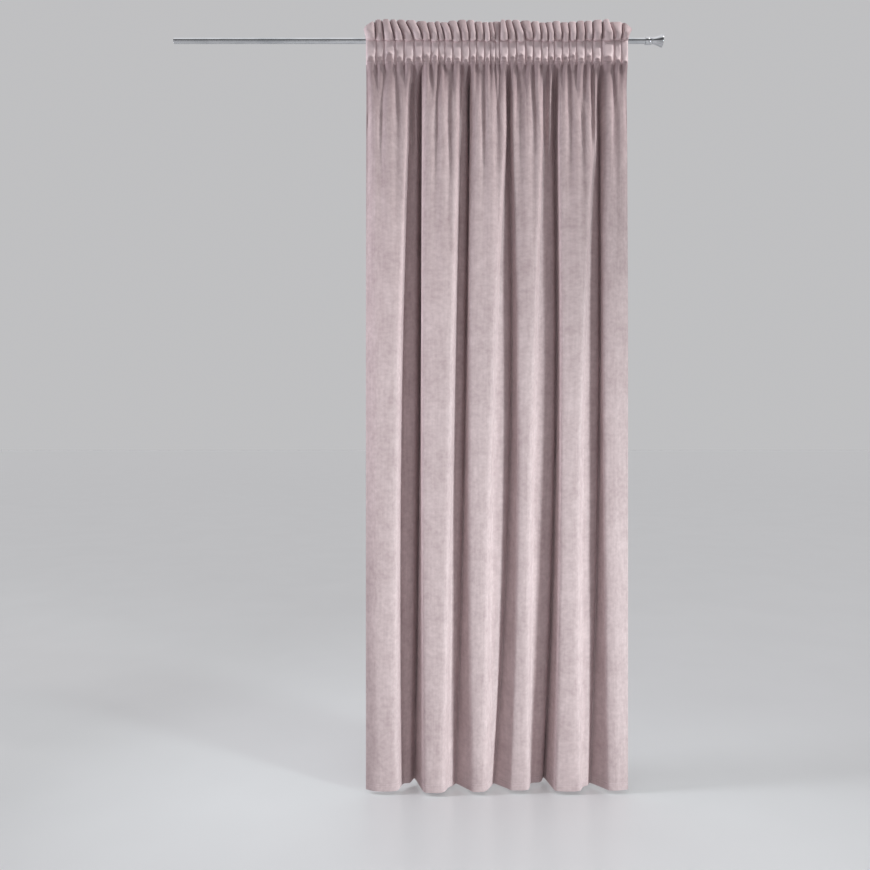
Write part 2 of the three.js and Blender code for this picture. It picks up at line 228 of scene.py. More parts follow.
@dataclass
class Heading:
    """The gathered heading: frill, band over the rod, and the lower stitching."""

    hanging_width: float = 922
    left_end_lean: float = 8
    slit_pinch: float = 0.03
    gather_z: float = -7
    stitch_z: float = -89
    groups: tuple[GatherGroup, ...] = (
        GatherGroup((36, 28, 39, 32, 35, 32, 28), (4, 6, 18, 26, 30, 24, 14)),
        GatherGroup((28, 21, 28, 32, 28, 25), (14, 17, 17, 16, 10, 7)),
        GatherGroup((28, 21, 18, 14, 32, 28), (7, 7, 10, -4, 12, 17)),
        GatherGroup((32, 28, 28, 25, 21, 28), (20, 8, 7, 10, 7, 7)),
        GatherGroup((25, 25, 32, 25, 32), (4, 0, 4, 0, -4)),
        GatherGroup((45, 25, 25), (20, -6, -14)),
    )
    rows: tuple[HeadingRow, ...] = (
        HeadingRow(57, -14, 0.42, 10, 1),
        HeadingRow(34, -15, 0.46, 11, 0.62),
        HeadingRow(8, -16.5, 0.5, 9, 0.2),
        HeadingRow(-7, -15, 0.17, 8, 0),
        HeadingRow(-32, -14.6, 0.18, 12, 0),
        HeadingRow(-62, -14.4, 0.2, 9, 0),
        HeadingRow(-89, -14, 0.26, 5, 0),
    )
    # How far each finger's top stands above or below the even line, and how far its foot drops.
    crowns: tuple[float, ...] = (
        0, 3, 2, 2, 1, 0, -3, -6, -2, -7, -2, 2, 2, -4, -5, -4, -1,
        2, 2, 1, -1, -3, -7, -5, -2, -6, -4, -2, -1, 1, 1, -5, -3,
    )
    drops: tuple[float, ...] = (
        1, 8, 9, 9, 9, 4, 7, 10, 6, 8, 12, 10, 9, 8, 12, 4, 13,
        10, 12, 13, 2, 8, 11, 14, 4, 13, 9, 12, 4, 8, 9, 4, 1,
    )
    # How tall each arch over a skirt pleat is, and how much of the pleat carries on below it.
    arches: tuple[float, ...] = (
        24, 26, 36, 24, 16, 22, 30, 27, 24, 18, 19, 14, 24, 26, 20, 24, 22,
        22, 25, 32, 26, 20, 17, 24, 19, 24, 30, 18, 30, 16, 24, 12, 8,
    )
    stays: tuple[float, ...] = (
        0.8, 1, 0.25, 0.3, 1.3, 1.2, 1.2, 1.3, 1, 0.3, 1.1, 1.2, 1.3, 0.3, 0.9, 0.4, 1.2,
        0.4, 1.1, 0.3, 0.8, 1.3, 0.5, 1.2, 0.4, 1.1, 0.5, 1.2, 1.2, 0.7, 0.3, 0.9, 0.5,
    )
    frill_corner: float = 0.5
    corner_pleats: float = 1.1
    arch_share: float = 0.66
    arch_inside: float = 0.5
    arch_lip: float = 2.6
    swell_run: float = 17
    swell_rise: float = 6.5
    foot_swell: float = 8.5
    foot_swell_change: float = 2.5
    foot_swell_beat: tuple[float, float] = (4.1, 1.3)
    foot_swell_top: float = 3
    foot_swell_run: float = 38
    foot_end: tuple[float, float] = (-6.6, 5)
    crest_flat: float = 6
    crown_round: float = 0.3
    crown_dip: float = 1.5
    crown_start: tuple[float, float] = (25, 30)
    frill_foot: float = 8
    least_drop: float = 4
    drop_round: float = 0.8
    drop_bell: tuple[float, float] = (-2, 3.4)
    tuck: float = 2.2
    tuck_bell: tuple[float, float] = (-9, 3.4)
    lip_run: float = 1.8
    arch_gap: float = 3
    swell_fall: float = 1.7
    swell_change: float = 0.3
    swell_beat: tuple[float, float] = (3.7, 0.4)
    swell_end: tuple[float, float] = (4, 55)
    stays_run: float = 30
    tone_run: float = 3
    # The frill is lighter than the skirt, and its tone changes from finger to finger as painted light,
    # where fingers turned different ways catch the light differently.
    frill_tone: float = 0.3
    frill_tone_change: float = 0.28
    frill_tone_beat: tuple[float, float] = (2.7, 0.9)
    band_lip: float = 2.6
    # Painted shade: the velvet darkened inside the band's arches and down the skirt from the lower
    # stitching, fading over the run below.
    gather_shade: float = 0.55
    gather_shade_run: float = 110

    def __post_init__(self) -> None:
        """Works out where the slits between the pleats lie."""
        widths = np.array([w for group in self.groups for w in group.widths], float)
        leans = [lean for group in self.groups for lean in group.leans]
        self.pleats = len(widths)
        edges = np.concatenate([[0], np.cumsum(widths)]) * self.hanging_width / widths.sum()
        self.slit_x = edges - self.hanging_width / 2
        self.slit_lean = np.array([self.left_end_lean, *leans], float)
        self.levels = -np.array([row.z for row in self.rows], float)
        self.sizes = np.array([[row.slit, row.depth, row.flat, row.lean] for row in self.rows])

    def pleat_of(self, along: np.ndarray) -> tuple[np.ndarray, np.ndarray]:
        """Finds the pleat that each place lies in.

        Args:
            along: Places counted in pleats from the left edge.

        Returns:
            Each place's pleat number, and how far through that pleat it lies, from 0 to 1.
        """
        first = np.clip(np.floor(along).astype(int), 0, self.pleats - 1)
        return first, along - first

    def section(self, z: float, along: np.ndarray) -> np.ndarray:
        """The gathered cloth at one height, seen from above.

        Args:
            z: The height.
            along: Places counted in pleats from the left edge.

        Returns:
            An x and a y for each place.
        """
        slit, depth, flat, lean = read_smoothly(self.levels, self.sizes, -z)
        first, within = self.pleat_of(along)
        left = self.slit_x[first] - self.slit_lean[first] * lean
        right = self.slit_x[first + 1] - self.slit_lean[first + 1] * lean
        pinched = within - self.slit_pinch * np.sin(2 * np.pi * within)
        foot_width = self.slit_x[first + 1] - self.slit_x[first]
        forward = 1 - np.abs(np.cos(np.pi * within)) ** flat
        return np.stack([left + (right - left) * pinched, slit - depth * foot_width * forward], 1)

    def arch(self, along: np.ndarray) -> np.ndarray:
        """The height of the rounded arch at the top of each skirt pleat, where the band swells out.

        Args:
            along: Places counted in pleats from the left edge.

        Returns:
            The arch's height at each place.
        """
        first, within = self.pleat_of(along)
        middle = (2 * within - 1) / self.arch_share
        tall = np.array(self.arches)[first]
        return self.stitch_z - self.arch_gap + tall * np.sqrt(np.clip(1 - middle**2, 0, 1))

    def place(self, z: float, along: np.ndarray) -> np.ndarray:
        """The heading's middle surface with its fingers, seam and swells.

        Args:
            z: The height before the fingers drop and the corners fall.
            along: Places counted in pleats from the left edge.

        Returns:
            A point for each place.
        """
        flat_xy = self.section(z, along)
        first, within = self.pleat_of(along)
        round_top = np.sin(np.pi * within)
        crest = 1 - np.abs(np.cos(np.pi * within)) ** self.crest_flat
        flat_top = round_top**self.crown_round
        y = flat_xy[:, 1].copy()
        heights = np.full_like(along, z)
        # Fingers: each swells towards its foot, which drops over the seam and turns back under itself.
        swell = self.foot_swell + self.foot_swell_change * uneven(first, self.foot_swell_beat)
        swell = swell * crest * bell(max(z - self.foot_swell_top, 0) / self.foot_swell_run)
        y -= swell * smooth_step(np.array((z - self.foot_end[0]) / self.foot_end[1]))
        drop = self.least_drop + np.array(self.drops)[first]
        dropped = bell((z - self.drop_bell[0]) / self.drop_bell[1])
        heights -= drop * round_top**self.drop_round * dropped
        y += self.tuck * crest * bell((z - self.tuck_bell[0]) / self.tuck_bell[1])
        # Corners and top edge of the frill.
        if z > self.frill_foot:
            from_ends = np.minimum(along, self.pleats - along) / self.corner_pleats
            height_share = self.frill_corner + (1 - self.frill_corner) * smooth_step(from_ends)
            heights = self.frill_foot + (heights - self.frill_foot) * height_share
            crown = np.array(self.crowns)[first] * flat_top + self.crown_dip * (flat_top - 1)
            start, run = self.crown_start
            heights += crown * smooth_step(np.array((z - start) / run))
        y -= self.swell_rise * self.arch_swell(z, along) * crest * self.swell_left(z)
        y -= self.band_lip * smooth_step(np.array((z - self.stitch_z) / self.lip_run))
        return np.stack([flat_xy[:, 0], y, heights], 1)

    def arch_swell(self, z: float, along: np.ndarray) -> np.ndarray:
        """How far the band swells out above each arch, to a lip along it, and is drawn in below.

        Args:
            z: The height.
            along: Places counted in pleats from the left edge.

        Returns:
            The share of the full swell at each place, uneven from pleat to pleat.
        """
        first, _ = self.pleat_of(along)
        above = z - self.arch(along)
        over = np.clip(1 - above / self.swell_run, 0, 1) ** self.swell_fall
        under = self.arch_inside + (1 - self.arch_inside) * bell(above / self.arch_lip)
        return np.where(above > 0, over, under) * self.swell_size(first)

    def swell_size(self, pleat: np.ndarray) -> np.ndarray:
        """Each pleat's own swell, as a share of the usual one."""
        return 1 + self.swell_change * uneven(pleat, self.swell_beat)

    def swell_left(self, z: float) -> float:
        """How much of the swell is left at a height: all of it in the heading, none well below."""
        above, run = self.swell_end
        return float(1 - smooth_step(np.array((self.stitch_z + above - z) / run)))

    def staying(self, pleat: np.ndarray, z: float) -> np.ndarray:
        """How much of each pleat is left at a height below the stitching.

        Args:
            pleat: The pleats' numbers.
            z: The height.

        Returns:
            A share for each pleat.
        """
        started = smooth_step((self.stitch_z - z) / self.stays_run)
        return 1 + (np.array(self.stays)[pleat] - 1) * started

    def pile_tone_and_painted_light(self, z: float, along: np.ndarray) -> np.ndarray:
        """The pile's tone: one on the band above the arches, a lighter silky colour that also carries a
        painted highlight, down to less than nothing inside the arches and below the stitching, which is
        painted shade.

        Args:
            z: The height.
            along: Places counted in pleats from the left edge.

        Returns:
            The tone at each place.
        """
        below_seam = smooth_step(np.array((self.gather_z - 1 - z) / self.tone_run))
        above_arch = smooth_step((z - self.arch(along)) / self.tone_run + 0.5)
        first, _ = self.pleat_of(along)
        # Painted light: each finger is lighter or darker by its own tone change.
        changed = self.frill_tone_change * uneven(first, self.frill_tone_beat)
        frill = (self.frill_tone + changed) * (1 - below_seam)
        # Painted shade inside the arches and down from the stitching; above the arches the lighter tone is
        # silky pile with a painted highlight.
        gathered = self.gather_shade * bell(min(z - self.stitch_z, 0) / self.gather_shade_run)
        return frill + below_seam * (above_arch - gathered * (1 - above_arch))


@dataclass
class Skirt:
    """The folded skirt below the lower stitching, whose folds take up the cloth's whole width."""

    cloth_width: float = 1400
    top_z: float = -330
    hem_z: float = -2643
    edge_reach: float = 12
    bow_place: float = 0.42
    bow: float = 4
    start_rounding: float = 7
    flank_reach: float = 6
    edge_run: float = 26
    left_curl: float = 11
    right_curl: float = 5
    wall_share: float = 0.62
    wall_turn: float = 6
    wall_foot: float = 0.16
    floor_slope: float = 0.64
    slot_reach: float = 15
    slot_share: float = 0.7
    crease_reach: float = 5
    crease_share: float = 0.97
    ridge_breadth: float = 1.7
    soften_run: float = 30
    soft_flat: float = 2.6
    ridge_sharpness: float = 1.4
    sharpness_change: float = 0.8
    sharpness_beat: tuple[float, float] = (5.3, 1)
    depth_scales: tuple[float, float] = (0.6, 1.6)
    ridge_end_reach: float = 16
    even_share: float = 0.45
    fine_steps: int = 12
    depth_steps: int = 24
    folds: tuple[BigFold, ...] = (
        BigFold(
            start=(-461, -461, -461),
            end=(-312, -345, -343),
            crease=(-264, -272, -290),
            depth=(72, 88, 92),
            turn=(2, 4, 5),
            back=10,
            floor=True,
            ridges=(-435, -382, -323, -288),
        ),
        BigFold(
            start=(-264, -265, -259),
            end=(-134, -160, -180),
            crease=(-92, -110, -140),
            depth=(56, 64, 58),
            turn=(4, 4, 6),
            ridges=(-242, -193, -148, -113),
        ),
        BigFold(
            start=(-94, -104, -94),
            end=(32, -17, -32),
            crease=(49, 53, -4),
            depth=(56, 66, 58),
            turn=(2, 3, 5),
            back=6,
            ridges=(-71, -25, 24, 56),
        ),
        BigFold(
            start=(52, 70, 43),
            end=(164, 127, 116),
            crease=(216, 216, 180),
            depth=(60, 74, 98),
            turn=(3, 3, 3),
            back=14,
            middle=False,
            floor=True,
            ridges=(104, 150, 186),
        ),
        BigFold(
            start=(214, 221, 201),
            end=(344, 298, 298),
            crease=(372, 372, 340),
            depth=(56, 68, 62),
            turn=(2, 3, 4),
            back=8,
            middle=False,
            ridges=(230, 279, 322, 351),
        ),
        BigFold(start=(371, 373, 385), end=(461, 461, 461), back=15, ridges=(395, 442)),
    )
    rows: tuple[SkirtRow, ...] = (
        SkirtRow(-89, 1, 1, 0, 0, -27),
        SkirtRow(-112, 1, 1.15, 0.16, 0.4, -27),
        SkirtRow(-155, 1, 0.98, 0.38, 1.4, -28),
        SkirtRow(-210, 0.98, 0.52, 0.56, 2.4, -30),
        SkirtRow(-290, 0.85, 0.13, 0.7, 2.8, -32),
        SkirtRow(-400, 0.55, 0.01, 0.84, 2.4, -34),
        SkirtRow(-560, 0.2, 0, 0.95, 1.6, -36),
        SkirtRow(-780, 0, 0, 1, 0.8, -38),
        SkirtRow(-1080, 0, 0, 1, 0, -40),
        SkirtRow(-2643, 0, 0, 1, 0, -40),
    )

    def __post_init__(self) -> None:
        """Lists the ridges and the rows' values."""
        ends = self.folds[-1].end[0] + self.ridge_end_reach
        ridges = [ridge for fold in self.folds for ridge in fold.ridges]
        self.ridge_places = np.array([-ends, *ridges, ends], float)
        self.levels = -np.array([row.z for row in self.rows], float)
        names = ("straight", "pleats", "folds", "ridge", "front")
        self.sizes = np.array([[getattr(row, name) for name in names] for row in self.rows], float)

    def at_height(self, sizes: tuple[float, float, float], z: float) -> float:
        """Reads a value given at the top, halfway down and at the hem.

        Args:
            sizes: The three values.
            z: The height to read at.

        Returns:
            The value there, on a smooth curve through the three.
        """
        top, middle, hem = sizes
        down = min(max((z - self.top_z) / (self.hem_z - self.top_z), 0), 1)
        straight = top + (hem - top) * down
        return straight + (middle - (top + hem) / 2) * 4 * down * (1 - down)

    def corners(self, z: float) -> np.ndarray:
        """The corners that guide the section at one height.

        Args:
            z: The height.

        Returns:
            An x and a depth behind the foremost front for each corner.
        """
        found = []
        for i, fold in enumerate(self.folds):
            start, end = self.at_height(fold.start, z), self.at_height(fold.end, z)
            if i == 0:
                found += [(start, fold.back + self.left_curl), (start + self.edge_run, fold.back)]
            else:
                found.append((start, fold.back + self.start_rounding))
                found.append((start + self.flank_reach, fold.back - 1))
            if fold.middle:
                found.append((start + (end - start) * self.bow_place, fold.back - self.bow))
            if i == len(self.folds) - 1:
                found += [(end - self.edge_run, fold.back), (end, fold.back + self.right_curl)]
                continue
            depth = self.at_height(fold.depth, z)
            turned = end + self.at_height(fold.turn, z)
            crease = self.at_height(fold.crease, z)
            found.append((end - self.edge_reach, fold.back - self.bow / 2))
            found.append((end, fold.back + self.edge_reach))
            found.append((turned, depth * (self.wall_share - self.wall_foot)))
            found.append((turned + self.wall_turn, depth * self.wall_share))
            if fold.floor:
                middle = (turned + self.wall_turn + crease) / 2
                found.append((middle, depth * self.floor_slope))
            next_back = self.folds[i + 1].back
            found.append((crease - self.slot_reach, depth * self.slot_share))
            found.append((crease - self.crease_reach, depth))
            found.append((crease, next_back + (depth - next_back) * self.crease_share))
        return np.array([found[0], *found, found[-1]])

    @staticmethod
    def guided(corners: np.ndarray, along: np.ndarray) -> np.ndarray:
        """A smooth curve guided by corners.

        Args:
            corners: The corners.
            along: Places on the curve, counted in corner steps from its start.

        Returns:
            A point for each place.
        """
        first = np.clip(np.floor(along).astype(int), 0, len(corners) - 3)
        t = (along - first)[:, None]
        near, middle, far = corners[first], corners[first + 1], corners[first + 2]
        return 0.5 * (1 - t) ** 2 * near + (0.5 + t - t * t) * middle + 0.5 * t * t * far

    @staticmethod
    def places_where(places: np.ndarray, measures: np.ndarray, wanted: np.ndarray) -> np.ndarray:
        """The places on a traced curve where one of its measures first reaches each wanted value.

        Args:
            places: The traced places.
            measures: The measure at each place.
            wanted: The values to reach.

        Returns:
            A place for each wanted value.
        """
        reached = np.searchsorted(np.maximum.accumulate(measures), wanted)
        after = np.clip(reached, 1, len(measures) - 1)
        low, high = measures[after - 1], measures[after]
        gap = np.where(high == low, 1, high - low)
        share = np.clip((wanted - low) / gap, 0, 1)
        return places[after - 1] + (places[after] - places[after - 1]) * share

    def ridge_wave(self, x: np.ndarray) -> np.ndarray:
        """The rise and fall of the small ridges.

        Args:
            x: Places across the hanging curtain.

        Returns:
            For each place, one on top of a ridge and minus one halfway to the next.
        """
        after = np.clip(np.searchsorted(self.ridge_places, x), 1, len(self.ridge_places) - 1)
        left, right = self.ridge_places[after - 1], self.ridge_places[after]
        sunk = (1 - np.cos(2 * np.pi * (x - left) / (right - left))) / 2
        return 1 - 2 * sunk**self.ridge_breadth

    def section(self, z: float, along: np.ndarray, heading: Heading) -> np.ndarray:
        """The skirt at one height: the gathers fade into the big folds.

        Args:
            z: The height.
            along: Places counted in pleats from the left edge.
            heading: The heading that the skirt hangs from.

        Returns:
            An x and a y for each place.
        """
        straight, pleats, folds, ridge, front = read_smoothly(self.levels, self.sizes, -z)
        guides = self.corners(z)
        places = np.arange((len(guides) - 2) * self.fine_steps + 1) / self.fine_steps
        traced = self.guided(guides, places)
        steps = np.linalg.norm(np.diff(traced, axis=0), axis=1)
        lengths = np.concatenate([[0], np.cumsum(steps)])
        gathered = heading.section(heading.stitch_z, along)
        rounding = 1 - smooth_step(np.array((heading.stitch_z - z) / self.soften_run))
        soft = self.soft_flat + (heading.rows[-1].flat - self.soft_flat) * rounding
        first, within = heading.pleat_of(along)
        foot_width = np.diff(heading.slit_x)[first]
        broad = 1 - np.abs(np.cos(np.pi * within)) ** soft
        sharpness = self.ridge_sharpness + self.sharpness_change * uneven(first, self.sharpness_beat)
        sharp = 1 + sharpness * (1 - rounding)
        forward = broad**sharp
        pleat = -heading.rows[-1].depth * foot_width * forward * pleats
        pleat *= heading.staying(first, z)
        inside = heading.arch_inside * heading.swell_size(first)
        pleat -= heading.swell_rise * inside * forward * heading.swell_left(z)
        even = self.places_where(places, lengths, lengths[-1] * along / heading.pleats)
        stepped = along * (len(guides) - 2) / heading.pleats
        turned = stepped + (even - stepped) * self.even_share
        below = self.places_where(places, traced[:, 0], gathered[:, 0])
        folded = self.guided(guides, turned + (below - turned) * straight)
        wave = self.ridge_wave(folded[:, 0])
        pleat += pleats * (heading.rows[-1].slit - front)

        def at_depth(scale: float) -> np.ndarray:
            """The section with its folds made deeper or shallower."""
            y = front + folded[:, 1] * folds * scale - ridge * scale * wave + pleat
            return np.stack([folded[:, 0], y], 1)

        shallow, deep = self.depth_scales
        for _ in range(self.depth_steps):
            scale = (shallow + deep) / 2
            length = np.linalg.norm(np.diff(at_depth(scale), axis=0), axis=1).sum()
            if length < self.cloth_width:
                shallow = scale
            else:
                deep = scale
        return at_depth(deep)


@dataclass
class SheetGrid:
    """A sheet as a grid of middle points, with its thickness towards the room and towards the wall."""

    points: np.ndarray
    front: np.ndarray
    back: np.ndarray
    across: np.ndarray
    down: np.ndarray

    def normals(self) -> np.ndarray:
        """The direction away from the room at each point.

        Returns:
            A direction of length one for each point.
        """
        across = np.gradient(self.points, axis=1)
        up = -np.gradient(self.points, axis=0)
        found = np.cross(up, across)
        return found / np.linalg.norm(found, axis=2, keepdims=True)

    def layers(self) -> tuple[np.ndarray, np.ndarray]:
        """The sheet's face towards the room and its face towards the wall."""
        away = self.normals()
        return self.points - away * self.front[..., None], self.points + away * self.back[..., None]

    def mesh(self, name: str) -> bpy.types.Mesh:
        """Builds the closed sheet, with a map of the flat cloth in metres.

        Args:
            name: The mesh's name.

        Returns:
            The mesh, whose wall side has material index 1.
        """
        rows, columns = self.points.shape[:2]
        front, back = self.layers()
        vertices = np.concatenate([front.reshape(-1, 3), back.reshape(-1, 3)]) * MM
        index = np.arange(rows * columns).reshape(rows, columns)
        behind = index + rows * columns

        def quads(a: np.ndarray, b: np.ndarray, c: np.ndarray, d: np.ndarray) -> np.ndarray:
            """Faces through four arrays of corners."""
            return np.stack([a, b, c, d], -1).reshape(-1, 4)

        room = quads(index[:-1, :-1], index[1:, :-1], index[1:, 1:], index[:-1, 1:])
        wall = quads(behind[:-1, :-1], behind[:-1, 1:], behind[1:, 1:], behind[1:, :-1])
        rim = [
            quads(index[0, :-1], index[0, 1:], behind[0, 1:], behind[0, :-1]),
            quads(index[-1, :-1], behind[-1, :-1], behind[-1, 1:], index[-1, 1:]),
            quads(index[:-1, 0], behind[:-1, 0], behind[1:, 0], index[1:, 0]),
            quads(index[:-1, -1], index[1:, -1], behind[1:, -1], behind[:-1, -1]),
        ]
        faces = np.concatenate([room, wall, *rim])
        mesh = bpy.data.meshes.new(name)
        mesh.from_pydata(vertices.tolist(), [], faces.tolist())
        mesh.polygons.foreach_set("use_smooth", np.ones(len(faces), bool))
        side = np.zeros(len(faces), np.int32)
        side[len(room) : len(room) + len(wall)] = 1
        mesh.polygons.foreach_set("material_index", side)
        flat = np.stack([np.broadcast_to(self.across, (rows, columns)), self.down], -1)
        flat = np.concatenate([flat.reshape(-1, 2)] * 2) * MM
        layer = mesh.uv_layers.new(name="flat_cloth")
        layer.uv.foreach_set("vector", flat[faces.ravel()].astype(np.float32).ravel())
        return mesh


def edge_round(distance: np.ndarray, reach: float) -> np.ndarray:
    """The share of a sheet's thickness left at a distance from its rounded edge.

    Args:
        distance: Distances from the edge.
        reach: How far in the rounding goes.

    Returns:
        A share for each distance.
    """
    inward = 1 - np.clip(distance / reach, 0, 1)
    return EDGE_SHARE + (1 - EDGE_SHARE) * np.sqrt(1 - inward**2)


def keep_piece(
    mesh: bpy.types.Mesh,
    slot: Slot,
    finishes: list[bpy.types.Material],
    *nodes: str,
) -> bpy.types.Object:
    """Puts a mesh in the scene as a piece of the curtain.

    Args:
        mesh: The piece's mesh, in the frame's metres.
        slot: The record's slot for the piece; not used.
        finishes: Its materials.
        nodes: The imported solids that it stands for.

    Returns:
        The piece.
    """
    piece = bpy.data.objects.new(mesh.name, mesh)
    bpy.context.scene.collection.objects.link(piece)
    for finish in finishes:
        mesh.materials.append(finish)
    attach(piece, BODY)
    if nodes:
        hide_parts(*nodes)
    LOG.info("%s: %d faces", piece.name, len(mesh.polygons))
    return piece


def add_node(
    tree: bpy.types.NodeTree,
    kind: str,
    inputs: dict[str | int, Any] | None = None,
    **settings: Any,
) -> bpy.types.Node:
    """Adds a node with its settings and links.

    Args:
        tree: The node tree.
        kind: The node's type.
        inputs: Values or sockets for its inputs, by name or number.
        settings: The node's own settings.

    Returns:
        The node.
    """
    node = tree.nodes.new(kind)
    for name, value in settings.items():
        setattr(node, name, value)
    for name, value in (inputs or {}).items():
        if isinstance(value, bpy.types.NodeSocket):
            tree.links.new(value, node.inputs[name])
        else:
            node.inputs[name].default_value = value
    return node


def new_material(name: str) -> tuple[bpy.types.Material, bpy.types.NodeTree]:
    """An empty material with nodes, and its tree."""
    material = bpy.data.materials.new(name)
    material.use_nodes = True
    material.node_tree.nodes.clear()
    return material, material.node_tree


def cover(tree: bpy.types.NodeTree, inputs: dict[str | int, Any]) -> None:
    """Finishes a material with one shader over the whole surface.

    Args:
        tree: The material's tree.
        inputs: The shader's values or sockets.
    """
    shader = add_node(tree, "ShaderNodeBsdfPrincipled", inputs)
    add_node(tree, "ShaderNodeOutputMaterial", {"Surface": shader.outputs["BSDF"]})


def added(tree: bpy.types.NodeTree, *parts: bpy.types.NodeSocket) -> bpy.types.NodeSocket:
    """Adds values up, from the first to the last.

    Args:
        tree: The node tree.
        parts: The values.

    Returns:
        Their sum.
    """
    total = parts[0]
    for part in parts[1:]:
        inputs = {0: total, 1: part}
        total = add_node(tree, "ShaderNodeMath", inputs, operation="ADD").outputs[0]
    return total


def flat_map(tree: bpy.types.NodeTree) -> bpy.types.NodeSocket:
    """The map of the flat cloth, in metres."""
    return add_node(tree, "ShaderNodeUVMap", uv_map="flat_cloth").outputs["UV"]


def per_metre(millimetres: float) -> float:
    """A texture scale whose pattern repeats about every so many millimetres."""
    return 1 / (millimetres * MM)


def grain(
    tree: bpy.types.NodeTree,
    place: bpy.types.NodeSocket,
    across: float,
    down: float,
    detail: float,
) -> bpy.types.NodeSocket:
    """Random grain stretched to real sizes.

    Args:
        tree: The node tree.
        place: The coordinates, in metres.
        across: The grain's size across the cloth, in millimetres.
        down: Its size down the cloth, in millimetres.
        detail: How many finer octaves it has.

    Returns:
        The grain, from 0 to 1.
    """
    scale = (per_metre(across), per_metre(down), per_metre(across))
    sized = add_node(tree, "ShaderNodeMapping", {"Vector": place, "Scale": scale})
    cloud = {"Vector": sized.outputs["Vector"], "Scale": 1.0, "Detail": detail, "Roughness": 0.55}
    return add_node(tree, "ShaderNodeTexNoise", cloud).outputs["Fac"]


def ramp(
    tree: bpy.types.NodeTree,
    value: bpy.types.NodeSocket,
    start: tuple[float, float],
    end: tuple[float, float],
) -> bpy.types.NodeSocket:
    """Maps a range of values onto another.

    Args:
        tree: The node tree.
        value: The value to map.
        start: The range it comes from.
        end: The range it goes to.

    Returns:
        The mapped value.
    """
    inputs = {
        "Value": value,
        "From Min": start[0],
        "From Max": start[1],
        "To Min": end[0],
        "To Max": end[1],
    }
    return add_node(tree, "ShaderNodeMapRange", inputs).outputs["Result"]


def mix_colours(
    tree: bpy.types.NodeTree,
    share: bpy.types.NodeSocket,
    first: Any,
    second: Any,
) -> bpy.types.NodeSocket:
    """Mixes two colours, each a socket or a linear colour.

    Args:
        tree: The node tree.
        share: How much of the second colour shows.
        first: The colour at a share of nothing.
        second: The colour at a share of one.

    Returns:
        The mixed colour.
    """
    inputs = {0: share, 6: first, 7: second}
    return add_node(tree, "ShaderNodeMix", inputs, data_type="RGBA").outputs[2]


@dataclass(frozen=True)
class PolyesterVelvet:
    """Warp-knitted polyester velvet, brushed and press-finished: dense short pile with a soft bloom.

    The eye sees a matt, powdery colour that pales along the folds' edges, clouded where hands and
    folding have turned the pile, and a smoother, silkier face where the cloth is pulled over the rod.
    That face's lighter colour also carries a painted highlight above the band's arches, and a darker
    colour is painted shade inside the arches and down the skirt from the lower stitching.
    """

    pile_light: str = "#cfbabb"
    pile_deep: str = "#a99294"
    silky_and_painted_highlight: str = "#d6c1c3"
    painted_shade: str = "#8c7377"
    bloom: str = "#ecdee0"
    ior: float = 1.57
    cloud_mm: float = 110
    mark_mm: float = 24
    streak_mm: float = 7
    streak_length_mm: float = 120
    # Pile tufts are about 0.3 mm and are drawn over ten times coarser, so that the grain shows.
    tuft_mm: float = 4.5
    nap_mm: float = 11

    def build(self) -> bpy.types.Material:
        """Makes the material of the cloth's face."""
        material, tree = new_material("polyester_velvet")
        place = flat_map(tree)
        cloud = grain(tree, place, self.cloud_mm, 1.4 * self.cloud_mm, 3)
        mark = grain(tree, place, self.mark_mm, 1.5 * self.mark_mm, 4)
        streak = grain(tree, place, self.streak_mm, self.streak_length_mm, 2)
        tuft = grain(tree, place, self.tuft_mm, self.tuft_mm, 1)
        turned_pile = grain(tree, place, self.nap_mm, 1.2 * self.nap_mm, 2)
        brushed = added(
            tree,
            ramp(tree, cloud, GRAIN_RANGE, (0, 0.3)),
            ramp(tree, mark, GRAIN_RANGE, (0, 0.34)),
            ramp(tree, turned_pile, GRAIN_RANGE, (-0.1, 0.22)),
            ramp(tree, streak, (0.25, 0.75), (0, 0.28)),
        )
        pile = mix_colours(
            tree, brushed, linear_colour(self.pile_deep), linear_colour(self.pile_light)
        )
        # Painted light in the colour: the tone attribute mixes in a lighter colour above the band's
        # arches, which is silky pile with a painted highlight, and a darker painted shade inside the
        # arches and below the stitching.
        tone_and_light = add_node(tree, "ShaderNodeAttribute", attribute_name="tone_and_painted_light").outputs["Fac"]
        closed = ramp(tree, tone_and_light, (-1, 0), (1, 0))
        shaded = mix_colours(tree, closed, pile, linear_colour(self.painted_shade))
        colour = mix_colours(tree, tone_and_light, shaded, linear_colour(self.silky_and_painted_highlight))
        height = added(tree, ramp(tree, mark, (0, 1), (0, 0.6)), ramp(tree, tuft, (0, 1), (0, 0.4)))
        bumped = add_node(
            tree,
            "ShaderNodeBump",
            {"Height": height, "Strength": 0.35, "Distance": 0.9 * MM},
        ).outputs["Normal"]
        cover(
            tree,
            {
                "Base Color": colour,
                "Roughness": ramp(tree, tone_and_light, (0, 1), (0.86, 0.52)),
                "IOR": self.ior,
                "Specular IOR Level": 0.35,
                "Sheen Weight": 0.25,
                "Sheen Roughness": 0.4,
                "Sheen Tint": linear_colour(self.bloom),
                "Normal": bumped,
            },
        )
        return material


